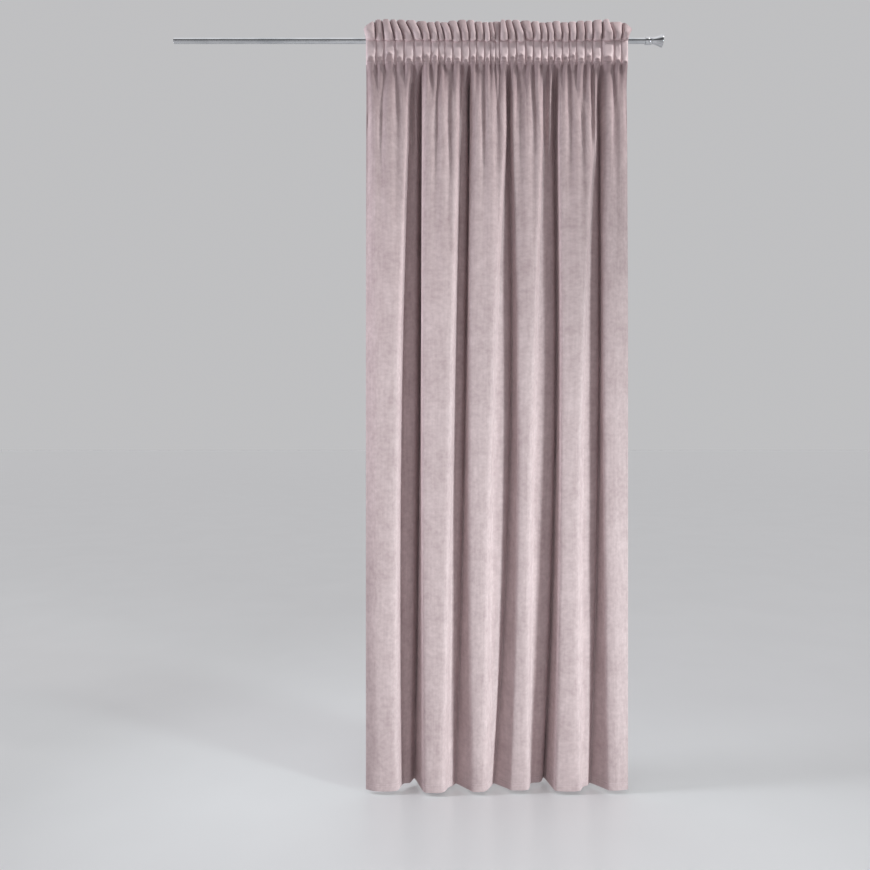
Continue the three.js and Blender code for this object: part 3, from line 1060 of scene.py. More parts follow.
@dataclass(frozen=True)
class KnittedBack:
    """The knitted ground on the back of the velvet: dull, fine upright ribs, a shade deeper."""

    rib_deep: str = "#a68c92"
    rib_light: str = "#bca4a9"
    ior: float = 1.57
    # The knit's ribs are 0.9 mm apart and are drawn at 4 mm, so that they show.
    rib_mm: float = 4

    def build(self) -> bpy.types.Material:
        """Makes the material of the cloth's back."""
        material, tree = new_material("knitted_velvet_back")
        place = flat_map(tree)
        rib = grain(tree, place, self.rib_mm, 30 * self.rib_mm, 1)
        loop = grain(tree, place, self.rib_mm, self.rib_mm, 1)
        colour = mix_colours(
            tree,
            ramp(tree, rib, GRAIN_RANGE, (0, 1)),
            linear_colour(self.rib_deep),
            linear_colour(self.rib_light),
        )
        height = added(tree, rib, loop)
        bumped = add_node(
            tree,
            "ShaderNodeBump",
            {"Height": height, "Strength": 0.3, "Distance": 0.5 * MM},
        ).outputs["Normal"]
        cover(
            tree,
            {
                "Base Color": colour,
                "Roughness": 0.9,
                "IOR": self.ior,
                "Specular IOR Level": 0.3,
                "Sheen Weight": 0.12,
                "Sheen Roughness": 0.5,
                "Normal": bumped,
            },
        )
        return material


@dataclass(frozen=True)
class WovenTape:
    """Plain-woven polyester heading tape: off-white, flat and matt, with a visible crossing weave."""

    yarn_light: str = "#ece7e1"
    yarn_deep: str = "#cfc7c0"
    ior: float = 1.57
    # The yarns lie 0.8 mm apart and are drawn at 2.4 mm, so that they show.
    yarn_mm: float = 2.4

    def build(self) -> bpy.types.Material:
        """Makes the material of the heading tape."""
        material, tree = new_material("woven_tape")
        place = flat_map(tree)
        weave = []
        for direction in ("X", "Y"):
            bands = {"Vector": place, "Scale": per_metre(self.yarn_mm) / 20, "Distortion": 0.6}
            wave = add_node(tree, "ShaderNodeTexWave", bands, bands_direction=direction)
            weave.append(wave.outputs["Fac"])
        crossed = add_node(
            tree, "ShaderNodeMath", {0: weave[0], 1: weave[1]}, operation="MULTIPLY"
        ).outputs[0]
        slub = grain(tree, place, 6 * self.yarn_mm, self.yarn_mm, 2)
        shade = added(tree, crossed, slub)
        colour = mix_colours(
            tree,
            ramp(tree, shade, (0.3, 1.2), (0, 1)),
            linear_colour(self.yarn_deep),
            linear_colour(self.yarn_light),
        )
        bumped = add_node(
            tree,
            "ShaderNodeBump",
            {"Height": crossed, "Strength": 0.5, "Distance": 0.5 * MM},
        ).outputs["Normal"]
        cover(
            tree,
            {"Base Color": colour, "Roughness": 0.88, "IOR": self.ior, "Normal": bumped},
        )
        return material


@dataclass(frozen=True)
class SpunThread:
    """Spun polyester sewing thread, dyed to the cloth: a soft shine along each stitch."""

    light: str = "#dccace"
    deep: str = "#bfa6ac"
    ior: float = 1.57
    twist_mm: float = 1.2

    def build(self) -> bpy.types.Material:
        """Makes the material of the stitches."""
        material, tree = new_material("spun_thread")
        place = add_node(tree, "ShaderNodeTexCoord").outputs["Object"]
        twist = grain(tree, place, self.twist_mm, self.twist_mm, 1)
        colour = mix_colours(tree, twist, linear_colour(self.deep), linear_colour(self.light))
        bumped = add_node(
            tree,
            "ShaderNodeBump",
            {"Height": twist, "Strength": 0.4, "Distance": 0.2 * MM},
        ).outputs["Normal"]
        cover(
            tree,
            {"Base Color": colour, "Roughness": 0.5, "IOR": self.ior, "Normal": bumped},
        )
        return material


@dataclass(frozen=True)
class PolishedChrome:
    """Chrome plate on polished steel: sharp bright and dark streaks, with faint wipe marks."""

    plate: str = "#d3d5d8"
    worn: str = "#b9bcc0"
    wipe_mm: float = 14

    def build(self) -> bpy.types.Material:
        """Makes the material of the rod and finial."""
        material, tree = new_material("polished_chrome")
        place = add_node(tree, "ShaderNodeTexCoord").outputs["Object"]
        wipe = grain(tree, place, 5 * self.wipe_mm, self.wipe_mm, 3)
        colour = mix_colours(
            tree,
            ramp(tree, wipe, (0.45, 0.75), (0, 1)),
            linear_colour(self.plate),
            linear_colour(self.worn),
        )
        cover(
            tree,
            {
                "Base Color": colour,
                "Metallic": 1.0,
                "Roughness": ramp(tree, wipe, (0.3, 0.8), (0.1, 0.2)),
            },
        )
        return material


@dataclass(frozen=True)
class PaleFloorPaint:
    """Smooth pale floor paint with a low gloss."""

    paint: str = "#e6e6e7"
    mottle: str = "#e0e0e1"

    def build(self) -> bpy.types.Material:
        """Makes the material of the floor."""
        material, tree = new_material("pale_floor")
        place = add_node(tree, "ShaderNodeTexCoord").outputs["Object"]
        mottle = grain(tree, place, 400, 400, 2)
        colour = mix_colours(tree, mottle, linear_colour(self.paint), linear_colour(self.mottle))
        cover(
            tree,
            {"Base Color": colour, "Roughness": 0.3, "IOR": 1.5},
        )
        return material


@dataclass
class CurtainCloth:
    """The curtain's one piece of velvet: frill, band, skirt, side hems and turned-up hem."""

    heading: Heading
    skirt: Skirt
    single: float = 2
    doubled: float = 3
    turn_up: float = 26
    hem_lines: tuple[float, float] = (-2617, -2625)
    side_hem: float = 20
    # Where the columns lie in each pleat, closer together at the slits.
    column_places: tuple[float, ...] = (0, 0.05, 0.11, 0.2, 0.34, 0.5, 0.66, 0.8, 0.89, 0.95)
    edge_columns: tuple[float, ...] = (0.02,)
    edge_reach: float = 2.5
    crease_fade: float = 0.6
    frill_blend: float = 4
    hem_blend: float = 2
    side_blend: float = 4
    hem_sink: float = 0.7
    hem_sink_run: float = 1.6
    sway_start: float = 30
    sway_run: float = 300
    broad: Unevenness = Unevenness(1.5, 120, 520, 3.7)
    narrow: Unevenness = Unevenness(0.7, 38, 240, 9.1)
    pucker: Unevenness = Unevenness(0.5, 14, 60, 5.3)
    pucker_bell: tuple[float, float] = (-2620, 26)
    # The band's wrinkles: two crossing sets, which start and end within the band.
    wrinkles: tuple[Unevenness, ...] = (
        Unevenness(1.9, 10, 34, 7.9, 0.35),
        Unevenness(1.3, 17, 40, 2.3, -0.6),
    )
    wrinkle_start: tuple[float, float] = (-12, 10)
    wrinkle_end: tuple[float, float] = (-88, 14)
    creases: tuple[SoftCrease, ...] = (
        SoftCrease((-436, -92), (-458, -330), 3.5, -4),
        SoftCrease((-407, -95), (-410, -400), 5, -3),
        SoftCrease((-358, -95), (-356, -300), 5, -2.5),
        SoftCrease((-301, -95), (-300, -420), 3.5, -7),
        SoftCrease((-288, -95), (-283, -440), 5, 12),
        SoftCrease((-211, -95), (-212, -380), 5, -3),
        SoftCrease((-170, -95), (-164, -520), 6, -3.5),
        SoftCrease((-120, -95), (-128, -420), 5, 6),
        SoftCrease((-56, -95), (-48, -460), 5, -3),
        SoftCrease((4, -95), (3, -300), 5, -2.5),
        SoftCrease((74, -95), (64, -360), 5, -4),
        SoftCrease((134, -95), (134, -420), 6, -3),
        SoftCrease((168, -95), (166, -420), 3, -5),
        SoftCrease((189, -95), (186, -430), 6, 14),
        SoftCrease((243, -95), (246, -280), 5, -3),
        SoftCrease((300, -95), (296, -580), 7, -3.5),
        SoftCrease((331, -95), (334, -440), 3, -6),
        SoftCrease((346, -95), (348, -440), 5, 13),
        SoftCrease((414, -95), (406, -480), 6, -4),
        SoftCrease((446, -92), (458, -330), 4, -3),
    )

    def __post_init__(self) -> None:
        """Sets out the rows and columns, closer together where the cloth bends most."""
        pleats = self.heading.pleats
        places = (np.arange(pleats)[:, None] + np.array(self.column_places)).ravel()
        ends = [*self.edge_columns, *(pleats - np.array(self.edge_columns)), pleats]
        self.along = np.unique(np.concatenate([places, ends]))
        self.arc = self.along / self.heading.pleats * self.skirt.cloth_width
        self.levels = self.row_levels()

    def row_levels(self) -> np.ndarray:
        """Sets out the rows, close together at the edges, the seams and the hem.

        Returns:
            The rows' heights, from the frill's top edge to the hem.
        """
        top, gather, stitch = self.heading.rows[0].z, self.heading.gather_z, self.heading.stitch_z
        hem = self.skirt.hem_z
        spans = (
            np.array([top, top - 0.6, top - 1.5, top - 3]),
            np.linspace(top - 6, 8, 11),
            np.array([5.5, 3, 1, -0.6, -2, -3.3, -4.5, -5.7]),
            np.array([gather, -8.2, -9.6, -11.5, -14]),
            np.linspace(-18, -42, 6),
            np.linspace(-46, stitch + 4, 15),
            np.array([stitch + 1.8, stitch, stitch - 1.8, stitch - 4.5]),
            np.linspace(-98, -210, 14),
            np.linspace(-222, -560, 18),
            np.linspace(-590, -2585, 30),
            np.array([-2604, -2612, -2615, -2617, -2619, -2623, -2625, -2627, -2632, -2637]),
            np.array([hem + 3, hem + 1.5, hem + 0.6, hem]),
        )
        return np.concatenate(spans)

    def crease_relief(self, x: np.ndarray, z: float) -> np.ndarray:
        """How far the listed creases push the cloth forward at one height.

        Args:
            x: Places across the hanging curtain.
            z: The height.

        Returns:
            A rise for each place.
        """
        relief = np.zeros_like(x)
        for crease in self.creases:
            down = (crease.top[1] - z) / (crease.top[1] - crease.foot[1])
            if not 0 < down < 1:
                continue
            middle = crease.top[0] + (crease.foot[0] - crease.top[0]) * down
            strength = crease.rise * math.sin(math.pi * down) ** self.crease_fade
            relief += strength * bell((x - middle) / crease.width)
        return relief

    def sway(self, z: float) -> np.ndarray:
        """The cloth's slight unevenness at one height, nothing in the heading.

        Args:
            z: The height.

        Returns:
            A rise for each column.
        """
        start = self.heading.stitch_z - self.sway_start
        opened = smooth_step(np.array((start - z) / self.sway_run))
        broad, narrow = self.broad.at(self.arc, z), self.narrow.at(self.arc, z)
        middle, run = self.pucker_bell
        pucker = self.pucker.at(self.arc, z) * bell((z - middle) / run)
        return opened * (broad + narrow) + pucker

    def place(self, z: float) -> np.ndarray:
        """The cloth's middle surface at one height.

        Args:
            z: The height, before the fingers drop.

        Returns:
            A point for each column.
        """
        if z >= self.heading.stitch_z:
            points = self.heading.place(z, self.along)
            (start, start_run), (end, end_run) = self.wrinkle_start, self.wrinkle_end
            wrinkle = smooth_step(np.array((start - z) / start_run))
            wrinkle = wrinkle * smooth_step(np.array((z - end) / end_run))
            slanted, crossing = (bumps.at(self.arc, z) for bumps in self.wrinkles)
            points[:, 1] -= wrinkle * (slanted + crossing)
            return points
        section = self.skirt.section(z, self.along, self.heading)
        section[:, 1] -= self.crease_relief(section[:, 0], z) + self.sway(z)
        for line in self.hem_lines:
            section[:, 1] += self.hem_sink * bell((z - line) / self.hem_sink_run)
        return np.column_stack([section, np.full_like(self.along, z)])

    def thickness(self) -> tuple[np.ndarray, np.ndarray]:
        """The cloth's thickness, doubled at the frill, the hem and the side hems.

        Returns:
            How far the cloth reaches towards the room and towards the wall at each point.
        """
        z = self.levels[:, None]
        frill = smooth_step((z - self.heading.gather_z) / self.frill_blend)
        hem_top = self.skirt.hem_z + self.turn_up + self.hem_blend / 2
        hem = smooth_step((hem_top - z) / self.hem_blend)
        from_side = np.minimum(self.arc, self.arc[-1] - self.arc)
        sides = smooth_step((self.side_hem - from_side) / self.side_blend)[None, :]
        extra = self.doubled - self.single
        front = self.single / 2 + extra / 2 * frill + np.zeros_like(sides)
        back = self.single / 2 + extra * np.maximum(np.maximum(frill / 2, hem), sides * (1 - frill))
        edge = edge_round(self.levels[0] - z, self.edge_reach)
        edge = np.minimum(edge, edge_round(z - self.levels[-1], self.edge_reach))
        edge = np.minimum(edge, edge_round(from_side, self.edge_reach)[None, :])
        return front * edge, back * edge

    def grid(self) -> SheetGrid:
        """The whole cloth as one sheet.

        Returns:
            The sheet.
        """
        points = np.stack([self.place(z) for z in self.levels])
        front, back = self.thickness()
        down = np.broadcast_to(self.levels[:, None], points.shape[:2])
        return SheetGrid(points, front, back, self.arc, down)

    def build(self, face: bpy.types.Material, reverse: bpy.types.Material) -> bpy.types.Object:
        """Args:
            face: The velvet's pile side.
            reverse: Its back.

        Returns:
            The cloth.
        """
        self.sheet = self.grid()
        mesh = self.sheet.mesh("velvet_curtain")
        # The tone, which carries painted light and shade, is stored on the points for the velvet's colour.
        tone = np.stack([self.heading.pile_tone_and_painted_light(z, self.along) for z in self.levels])
        tone_layer = mesh.attributes.new("tone_and_painted_light", "FLOAT", "POINT")
        tone_layer.data.foreach_set("value", np.concatenate([tone.ravel()] * 2).astype(np.float32))
        piece = keep_piece(mesh, Slot.VELVET, [face, reverse], "curtain_cloth")
        return piece


@dataclass
class HeadingTape:
    """The woven tape: sewn on in front of the rod, over it, down behind it and along the stitching."""

    heading: Heading
    cloth: CurtainCloth
    thickness: float = 1.5
    seam_gap: float = 0.6
    end_inset: float = 0.15
    end_step: float = 0.02
    rod_radius: float = 10
    seat_gap: float = 0.3
    start_angle: float = 160
    end_angle: float = -20
    solid_angle_step: float = 45
    pleat_share: float = 0.24
    columns_per_pleat: int = 6
    round_steps: int = 16
    down_steps: int = 9

    def behind_cloth(self, z: float) -> np.ndarray:
        """The tape's middle where it is sewn behind the cloth.

        Args:
            z: The height of the seam.

        Returns:
            A point for each column.
        """
        points = self.heading.place(z, self.along)
        doubled = z > self.heading.stitch_z / 2
        cloth = (self.cloth.doubled if doubled else self.cloth.single) / 2
        points[:, 1] += cloth + self.seam_gap + self.thickness / 2
        points[:, 2] = z
        return points

    def grid(self) -> SheetGrid:
        """The whole tape as one sheet, from the upper seam over the rod to the lower stitching.

        Returns:
            The sheet.
        """
        pleats = self.heading.pleats
        even = np.arange(pleats * self.columns_per_pleat + 1) / self.columns_per_pleat
        self.along = np.clip(even, self.end_inset, pleats - self.end_inset)
        ends = [self.end_inset - self.end_step, pleats - self.end_inset + self.end_step]
        self.along[[0, -1]] = ends
        first, within = self.heading.pleat_of(self.along)
        seam = self.behind_cloth(self.heading.gather_z)
        stitching = self.behind_cloth(self.heading.stitch_z)
        width = np.diff(self.heading.slit_x)[first]
        half_step = math.radians(self.solid_angle_step / 2)
        clear = (self.rod_radius + self.seat_gap) / math.cos(half_step) + self.thickness / 2
        radius = clear + self.pleat_share * width * np.sin(np.pi * within) ** 2
        rows = [seam]
        for degrees in np.linspace(self.start_angle, self.end_angle, self.round_steps):
            angle = math.radians(degrees)
            rows.append(np.stack([seam[:, 0], radius * math.cos(angle), radius * math.sin(angle)], 1))
        last = rows[-1]
        for share in np.linspace(0, 1, self.down_steps)[1:]:
            rows.append(last + (stitching - last) * share)
        points = np.stack(rows)
        half = np.full(points.shape[:2], self.thickness / 2)
        steps = np.linalg.norm(np.diff(points, axis=0), axis=2).mean(axis=1)
        lengths = np.concatenate([[0], np.cumsum(steps)])
        self.length = lengths[-1]
        across = self.along / pleats * self.cloth.skirt.cloth_width
        down = np.broadcast_to(-lengths[:, None], points.shape[:2])
        return SheetGrid(points, half, half, across, down)

    def build(self, finish: bpy.types.Material) -> bpy.types.Object:
        """Args:
            finish: The woven tape's material.

        Returns:
            The tape.
        """
        mesh = self.grid().mesh("heading_tape_woven")
        piece = keep_piece(mesh, Slot.TAPE, [finish, finish], "heading_tape")
        return piece


@dataclass
class Stitching:
    """Rows of machine stitches that lie on the face of the cloth."""

    cloth: CurtainCloth
    length: float = 3.4
    gap: float = 0.9
    radius: float = 0.42
    sides: int = 6
    ring_places: tuple[float, ...] = (-0.5, -0.3, 0.3, 0.5)
    ring_sizes: tuple[float, ...] = (0.35, 1, 1, 0.35)

    def line(self, z: float) -> tuple[np.ndarray, np.ndarray]:
        """The face of the cloth along one row of its grid.

        Args:
            z: The row's height.

        Returns:
            The row's points, and the direction towards the room at each.
        """
        row = int(np.argmin(np.abs(self.cloth.levels - z)))
        face, _ = self.cloth.sheet.layers()
        return face[row], -self.cloth.sheet.normals()[row]

    def stitches(self, z: float) -> tuple[np.ndarray, np.ndarray]:
        """One line of stitches.

        Args:
            z: The height of the line.

        Returns:
            The stitches' points, one block for each stitch, and one stitch's faces.
        """
        path, towards = self.line(z)
        run = np.concatenate([[0], np.cumsum(np.linalg.norm(np.diff(path, axis=0), axis=1))])
        count = int(run[-1] / (self.length + self.gap))
        middles = (np.arange(count) + 0.5) * run[-1] / count

        def read(values: np.ndarray, at: np.ndarray) -> np.ndarray:
            """Reads points along the line."""
            return np.stack([np.interp(at, run, values[:, k]) for k in range(3)], 1)

        middle = read(path, middles)
        ahead = read(path, middles + self.length / 2) - read(path, middles - self.length / 2)
        ahead /= np.linalg.norm(ahead, axis=1, keepdims=True)
        out = read(towards, middles)
        side = np.cross(ahead, out)
        side /= np.linalg.norm(side, axis=1, keepdims=True)
        out = np.cross(side, ahead)
        blocks = []
        for place, size in zip(self.ring_places, self.ring_sizes):
            centre = middle + ahead * place * self.length + out * self.radius * (size - 0.5)
            for k in range(self.sides):
                turn = 2 * math.pi * k / self.sides
                spoke = out * math.cos(turn) + side * math.sin(turn)
                blocks.append(centre + spoke * self.radius * size)
        return np.stack(blocks, 1), self.one_stitch()

    def one_stitch(self) -> np.ndarray:
        """The triangles of one stitch.

        Returns:
            Three corner numbers for each triangle.
        """
        faces = []
        last = (len(self.ring_places) - 1) * self.sides
        for ring in range(len(self.ring_places) - 1):
            for k in range(self.sides):
                a, b = ring * self.sides + k, ring * self.sides + (k + 1) % self.sides
                faces += [(a, b, b + self.sides), (a, b + self.sides, a + self.sides)]
        for k in range(1, self.sides - 1):
            faces += [(0, k + 1, k), (last, last + k, last + k + 1)]
        return np.array(faces)

    def build(self, name: str, lines: tuple[float, ...], finish: bpy.types.Material) -> bpy.types.Object:
        """Builds lines of stitches as one piece.

        Args:
            name: The piece's name.
            lines: The heights of the lines.
            finish: The thread's material.

        Returns:
            The stitches.
        """
        points, faces, start = [], [], 0
        for z in lines:
            blocks, one = self.stitches(z)
            offsets = start + np.arange(len(blocks)) * blocks.shape[1]
            points.append(blocks.reshape(-1, 3))
            faces.append((one[None] + offsets[:, None, None]).reshape(-1, 3))
            start += len(blocks) * blocks.shape[1]
        mesh = bpy.data.meshes.new(name)
        mesh.from_pydata((np.concatenate(points) * MM).tolist(), [], np.concatenate(faces).tolist())
        mesh.polygons.foreach_set("use_smooth", np.ones(len(mesh.polygons), bool))
        return keep_piece(mesh, Slot.VELVET, [finish])


@dataclass
class TurnedMetal:
    """The rod, its collar and its trumpet finial, turned about the rod's axis."""

    sides: int = 96
    rod_radius: float = 10
    rod_left: float = -1142
    rod_right: float = 538
    rod_edge: float = 0.8
    collar_start: float = 526.3
    collar_length: float = 22
    collar_radius: float = 13.5
    collar_edge: float = 1
    bore_gap: float = 0.3
    groove_start: float = 12
    groove_width: float = 4.5
    groove_radius: float = 11.8
    trumpet_length: float = 38
    neck_length: float = 3
    neck_radius: float = 7.5
    throat_radius: float = 10.5
    flare_power: float = 1.35
    flare_steps: int = 18
    mouth_radius: float = 21.5
    lip_width: float = 3
    lip_round: float = 0.8
    mouth_dish: float = 6

    @staticmethod
    def eased(outline: list[tuple[float, float, float]], steps: int = 4) -> list[tuple[float, float]]:
        """Rounds an outline's corners.

        Args:
            outline: Each corner's radius from the axis, place along it, and rounding.
            steps: The points on each rounded corner.

        Returns:
            The rounded outline as radius and place.
        """
        made = []
        for i, (radius, along, rounding) in enumerate(outline):
            if not rounding:
                made.append((radius, along))
                continue
            corner = np.array([radius, along])
            before, after = np.array(outline[i - 1][:2]), np.array(outline[i + 1][:2])
            first = corner + (before - corner) / np.linalg.norm(before - corner) * rounding
            last = corner + (after - corner) / np.linalg.norm(after - corner) * rounding
            for t in np.linspace(0, 1, steps + 1):
                made.append(tuple((1 - t) ** 2 * first + 2 * t * (1 - t) * corner + t * t * last))
        return made

    def turned(self, name: str, outline: list[tuple[float, float]], start: float) -> bpy.types.Mesh:
        """Turns an outline that begins and ends on the axis about the rod's axis.

        Args:
            name: The mesh's name.
            outline: Radius and place along the axis, from one end to the other.
            start: Where the piece starts along the rod.

        Returns:
            The closed mesh.
        """
        inner = np.array(outline[1:-1])
        turn = 2 * np.pi * np.arange(self.sides) / self.sides
        x = np.repeat(inner[:, 1], self.sides)
        y = np.outer(inner[:, 0], np.cos(turn)).ravel()
        z = np.outer(inner[:, 0], np.sin(turn)).ravel()
        tips = np.array([[outline[0][1], 0, 0], [outline[-1][1], 0, 0]])
        points = np.concatenate([np.column_stack([x, y, z]), tips]) + [start, 0, 0]
        ring = np.arange(self.sides)
        after = (ring + 1) % self.sides
        faces = []
        for r in range(len(inner) - 1):
            low, high = r * self.sides, (r + 1) * self.sides
            faces += np.stack([low + ring, low + after, high + after, high + ring], 1).tolist()
        first_tip, last_tip = len(points) - 2, len(points) - 1
        end = (len(inner) - 1) * self.sides
        faces += [[first_tip, int(b), int(a)] for a, b in zip(ring, after)]
        faces += [[last_tip, end + int(a), end + int(b)] for a, b in zip(ring, after)]
        mesh = bpy.data.meshes.new(name)
        mesh.from_pydata((points * MM).tolist(), [], faces)
        mesh.polygons.foreach_set("use_smooth", np.ones(len(faces), bool))
        mesh.set_sharp_from_angle(angle=math.radians(SHARP_DEGREES))
        return mesh

    def rod(self, finish: bpy.types.Material) -> bpy.types.Object:
        """Builds the rod."""
        length = self.rod_right - self.rod_left
        outline = self.eased([
            (0, 0, 0),
            (self.rod_radius, 0, self.rod_edge),
            (self.rod_radius, length, self.rod_edge / 2),
            (0, length, 0),
        ])
        mesh = self.turned("rod_tube", outline, self.rod_left)
        return keep_piece(mesh, Slot.CHROME, [finish], "curtain_rod")

    def collar(self, finish: bpy.types.Material) -> bpy.types.Object:
        """Builds the grooved collar that slides over the rod's end."""
        bore = self.rod_radius + self.bore_gap
        bore_depth = self.rod_right + self.bore_gap - self.collar_start
        slope = self.groove_width / 3
        edge = self.collar_edge
        outline = self.eased([
            (0, bore_depth, 0),
            (bore, bore_depth, 0),
            (bore, 0, 0),
            (self.collar_radius, 0, edge),
            (self.collar_radius, self.groove_start, 0.5),
            (self.groove_radius, self.groove_start + slope, 0.4),
            (self.groove_radius, self.groove_start + 2 * slope, 0.4),
            (self.collar_radius, self.groove_start + self.groove_width, 0.5),
            (self.collar_radius, self.collar_length, edge),
            (0, self.collar_length, 0),
        ])
        mesh = self.turned("finial_collar_grooved", outline, self.collar_start)
        return keep_piece(mesh, Slot.CHROME, [finish], "finial_collar")

    def trumpet(self, finish: bpy.types.Material) -> bpy.types.Object:
        """Builds the flared trumpet with its dished mouth."""
        flare_end = self.trumpet_length - 2 * self.lip_round
        outline = [(0, 0, 0), (self.neck_radius, 0, 0), (self.neck_radius, self.neck_length, 0)]
        for share in np.linspace(0, 1, self.flare_steps + 1):
            flare = share**self.flare_power
            radius = self.throat_radius + (self.mouth_radius - self.throat_radius) * flare
            place = self.neck_length + (flare_end - self.neck_length) * share
            outline.append((radius, place, 0))
        lip = self.mouth_radius
        outline.append((lip, self.trumpet_length, 2 * self.lip_round * 0.98))
        outline.append((lip - self.lip_width, self.trumpet_length, self.lip_round))
        for share in (0.66, 0.33):
            dished = self.trumpet_length - self.mouth_dish * (1 - share**2)
            outline.append(((lip - self.lip_width) * share, dished, 0))
        outline.append((0, self.trumpet_length - self.mouth_dish, 0))
        start = self.collar_start + self.collar_length + self.bore_gap
        mesh = self.turned("finial_trumpet_flared", self.eased(outline), start)
        return keep_piece(mesh, Slot.CHROME, [finish], "finial_trumpet")


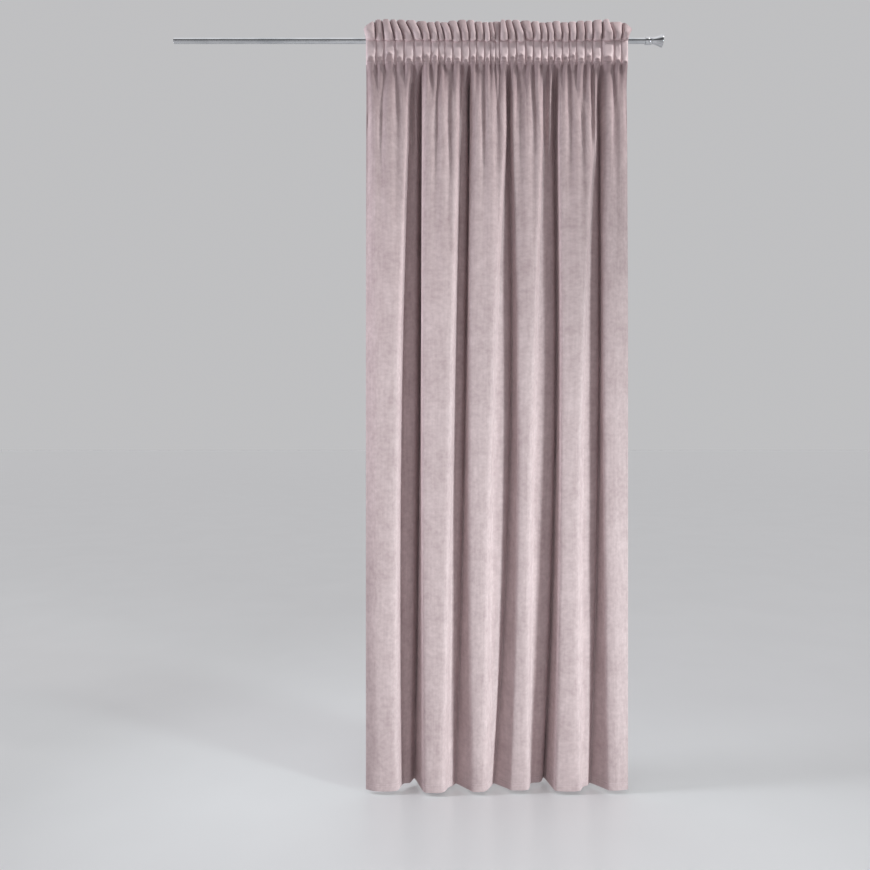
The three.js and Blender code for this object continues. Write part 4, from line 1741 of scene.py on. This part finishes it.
@dataclass
class Studio:
    """A plain pale floor, soft studio light, and the camera."""

    image_side: float = 870
    focal_pixels: float = 762.5
    sensor: float = 36
    camera_place: tuple[float, float, float] = (-218, -2700, -1395.5)
    floor_gap: float = 14
    floor_side: float = 120000
    key_place: tuple[float, float, float] = (6680, -4340, -1850)
    key_aim: tuple[float, float, float] = (-420, 0, -1850)
    key_cone: float = 26.5
    key_radius: float = 600
    key_watts: float = 3280
    key_colour: str = "#f0ffff"
    top_place: tuple[float, float, float] = (2600, -900, 1500)
    top_aim: tuple[float, float, float] = (-60, 0, -60)
    top_cone: float = 32
    top_radius: float = 120
    top_watts: float = 290
    front_place: tuple[float, float, float] = (100, -2900, -2100)
    front_size: tuple[float, float] = (2400, 700)
    front_watts: float = 2.4
    front_aim: tuple[float, float, float] = (0, 0, -2100)
    left_place: tuple[float, float, float] = (-2600, -360, -850)
    left_size: tuple[float, float] = (500, 1400)
    left_watts: float = 26
    left_colour: str = "#e4e9ef"
    light_spread: float = 115
    sky_front: float = 0.08
    sky_back: float = 0.58
    sky_top: float = 1.1
    sky_turn: tuple[float, float] = (-0.2, 0.5)
    sky_overhead: tuple[float, float] = (0.4, 0.85)
    sky_colour: str = "#f4f4f6"

    def hang(
        self,
        data: bpy.types.Light,
        place: tuple[float, float, float],
        aim: tuple[float, float, float],
        watts: float,
        colour: str,
    ) -> None:
        """Hangs a lamp in the studio, out of the camera's sight.

        Args:
            data: The lamp's own settings.
            place: Where it stands.
            aim: The point that it faces.
            watts: Its power.
            colour: Its colour as #rrggbb.
        """
        data.color = linear_colour(colour)[:3]
        data.energy = watts
        lamp = bpy.data.objects.new(data.name, data)
        lamp.location = Vector(place) * MM
        lamp.rotation_euler = (Vector(aim) - Vector(place)).to_track_quat("-Z", "Y").to_euler()
        lamp.visible_camera = False
        bpy.context.scene.collection.objects.link(lamp)

    def light(
        self,
        name: str,
        place: tuple[float, float, float],
        aim: tuple[float, float, float],
        size: tuple[float, float],
        watts: float,
        colour: str = "#ffffff",
    ) -> None:
        """Adds a soft rectangular light.

        Args:
            name: The light's name.
            place: Where it stands.
            aim: The point that it faces.
            size: Its width and height.
            watts: Its power.
            colour: Its colour as #rrggbb.
        """
        data = bpy.data.lights.new(name, "AREA")
        data.shape = "RECTANGLE"
        data.size, data.size_y = size[0] * MM, size[1] * MM
        data.spread = math.radians(self.light_spread)
        self.hang(data, place, aim, watts, colour)

    def spot(
        self,
        name: str,
        place: tuple[float, float, float],
        aim: tuple[float, float, float],
        cone: float,
        radius: float,
        watts: float,
        colour: str = "#ffffff",
    ) -> None:
        """Adds a light with a cone that fades from its middle to its edge.

        Args:
            name: The light's name.
            place: Where it stands.
            aim: The point that it faces.
            cone: The cone's whole angle in degrees.
            radius: The size of the lamp, which softens its shadows.
            watts: Its power.
            colour: Its colour as #rrggbb.
        """
        data = bpy.data.lights.new(name, "SPOT")
        data.spot_size = math.radians(cone)
        data.spot_blend = 1.0
        data.shadow_soft_size = radius * MM
        self.hang(data, place, aim, watts, colour)

    def sky(self) -> None:
        """Makes the even light all round: paler behind the curtain and overhead than in front."""
        world = bpy.data.worlds.new("studio")
        world.use_nodes = True
        tree = world.node_tree
        tree.nodes.clear()
        facing = add_node(tree, "ShaderNodeTexCoord").outputs["Generated"]
        parts = add_node(tree, "ShaderNodeSeparateXYZ", {"Vector": facing}).outputs
        level = ramp(tree, parts["Y"], self.sky_turn, (self.sky_front, self.sky_back))
        overhead = ramp(tree, parts["Z"], self.sky_overhead, (0, self.sky_top))
        strength = add_node(
            tree, "ShaderNodeMath", {0: level, 1: overhead}, operation="MAXIMUM"
        ).outputs[0]
        glow = add_node(
            tree,
            "ShaderNodeBackground",
            {"Color": linear_colour(self.sky_colour), "Strength": strength},
        )
        add_node(tree, "ShaderNodeOutputWorld", {"Surface": glow.outputs["Background"]})
        bpy.context.scene.world = world

    def floor(self, finish: bpy.types.Material) -> None:
        """Lays the floor just below the hem.

        Args:
            finish: The floor's material.
        """
        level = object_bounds()[0][2] - self.floor_gap * MM
        half = self.floor_side / 2 * MM
        mesh = bpy.data.meshes.new("studio_floor")
        turns = ((-1, -1), (1, -1), (1, 1), (-1, 1))
        corners = [(across * half, back * half, level) for across, back in turns]
        mesh.from_pydata(corners, [], [(0, 1, 2, 3)])
        mesh.materials.append(finish)
        floor = bpy.data.objects.new("studio_floor", mesh)
        bpy.context.scene.collection.objects.link(floor)
        floor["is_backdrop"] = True

    def camera(self) -> None:
        """Sets the camera level and square to the curtain, as the picture was taken."""
        data = bpy.data.cameras.new("camera")
        data.sensor_width = self.sensor
        data.lens = self.focal_pixels / self.image_side * self.sensor
        camera = bpy.data.objects.new("camera", data)
        camera.location = Vector(self.camera_place) * MM
        camera.rotation_euler = (math.pi / 2, 0, 0)
        bpy.context.scene.collection.objects.link(camera)
        bpy.context.scene.camera = camera

    def build(self, floor_finish: bpy.types.Material) -> None:
        """Builds the whole studio.

        Args:
            floor_finish: The floor's material.
        """
        self.floor(floor_finish)
        key = (self.key_place, self.key_aim, self.key_cone, self.key_radius, self.key_watts)
        self.spot("key", *key, self.key_colour)
        top = (self.top_place, self.top_aim, self.top_cone, self.top_radius, self.top_watts)
        self.spot("top", *top)
        self.light("front", self.front_place, self.front_aim, self.front_size, self.front_watts)
        aim = (0, 0, self.left_place[2])
        self.light("left", self.left_place, aim, self.left_size, self.left_watts, self.left_colour)
        self.sky()
        self.camera()
        bpy.context.scene.view_settings.view_transform = "Standard"


def main() -> None:
    """Builds the curtain piece by piece, then the studio."""
    logging.basicConfig(level=logging.INFO, format="%(message)s")
    velvet, reverse = PolyesterVelvet().build(), KnittedBack().build()
    thread, chrome = SpunThread().build(), PolishedChrome().build()
    metal = TurnedMetal()
    metal.rod(chrome)
    metal.collar(chrome)
    metal.trumpet(chrome)
    heading, skirt = Heading(), Skirt()
    cloth = CurtainCloth(heading, skirt)
    cloth.build(velvet, reverse)
    HeadingTape(heading, cloth).build(WovenTape().build())
    stitching = Stitching(cloth)
    stitching.build("heading_stitches", (heading.stitch_z,), thread)
    stitching.build("hem_stitches", cloth.hem_lines, thread)
    Studio().build(PaleFloorPaint().build())


if __name__ == "__main__":
    main()
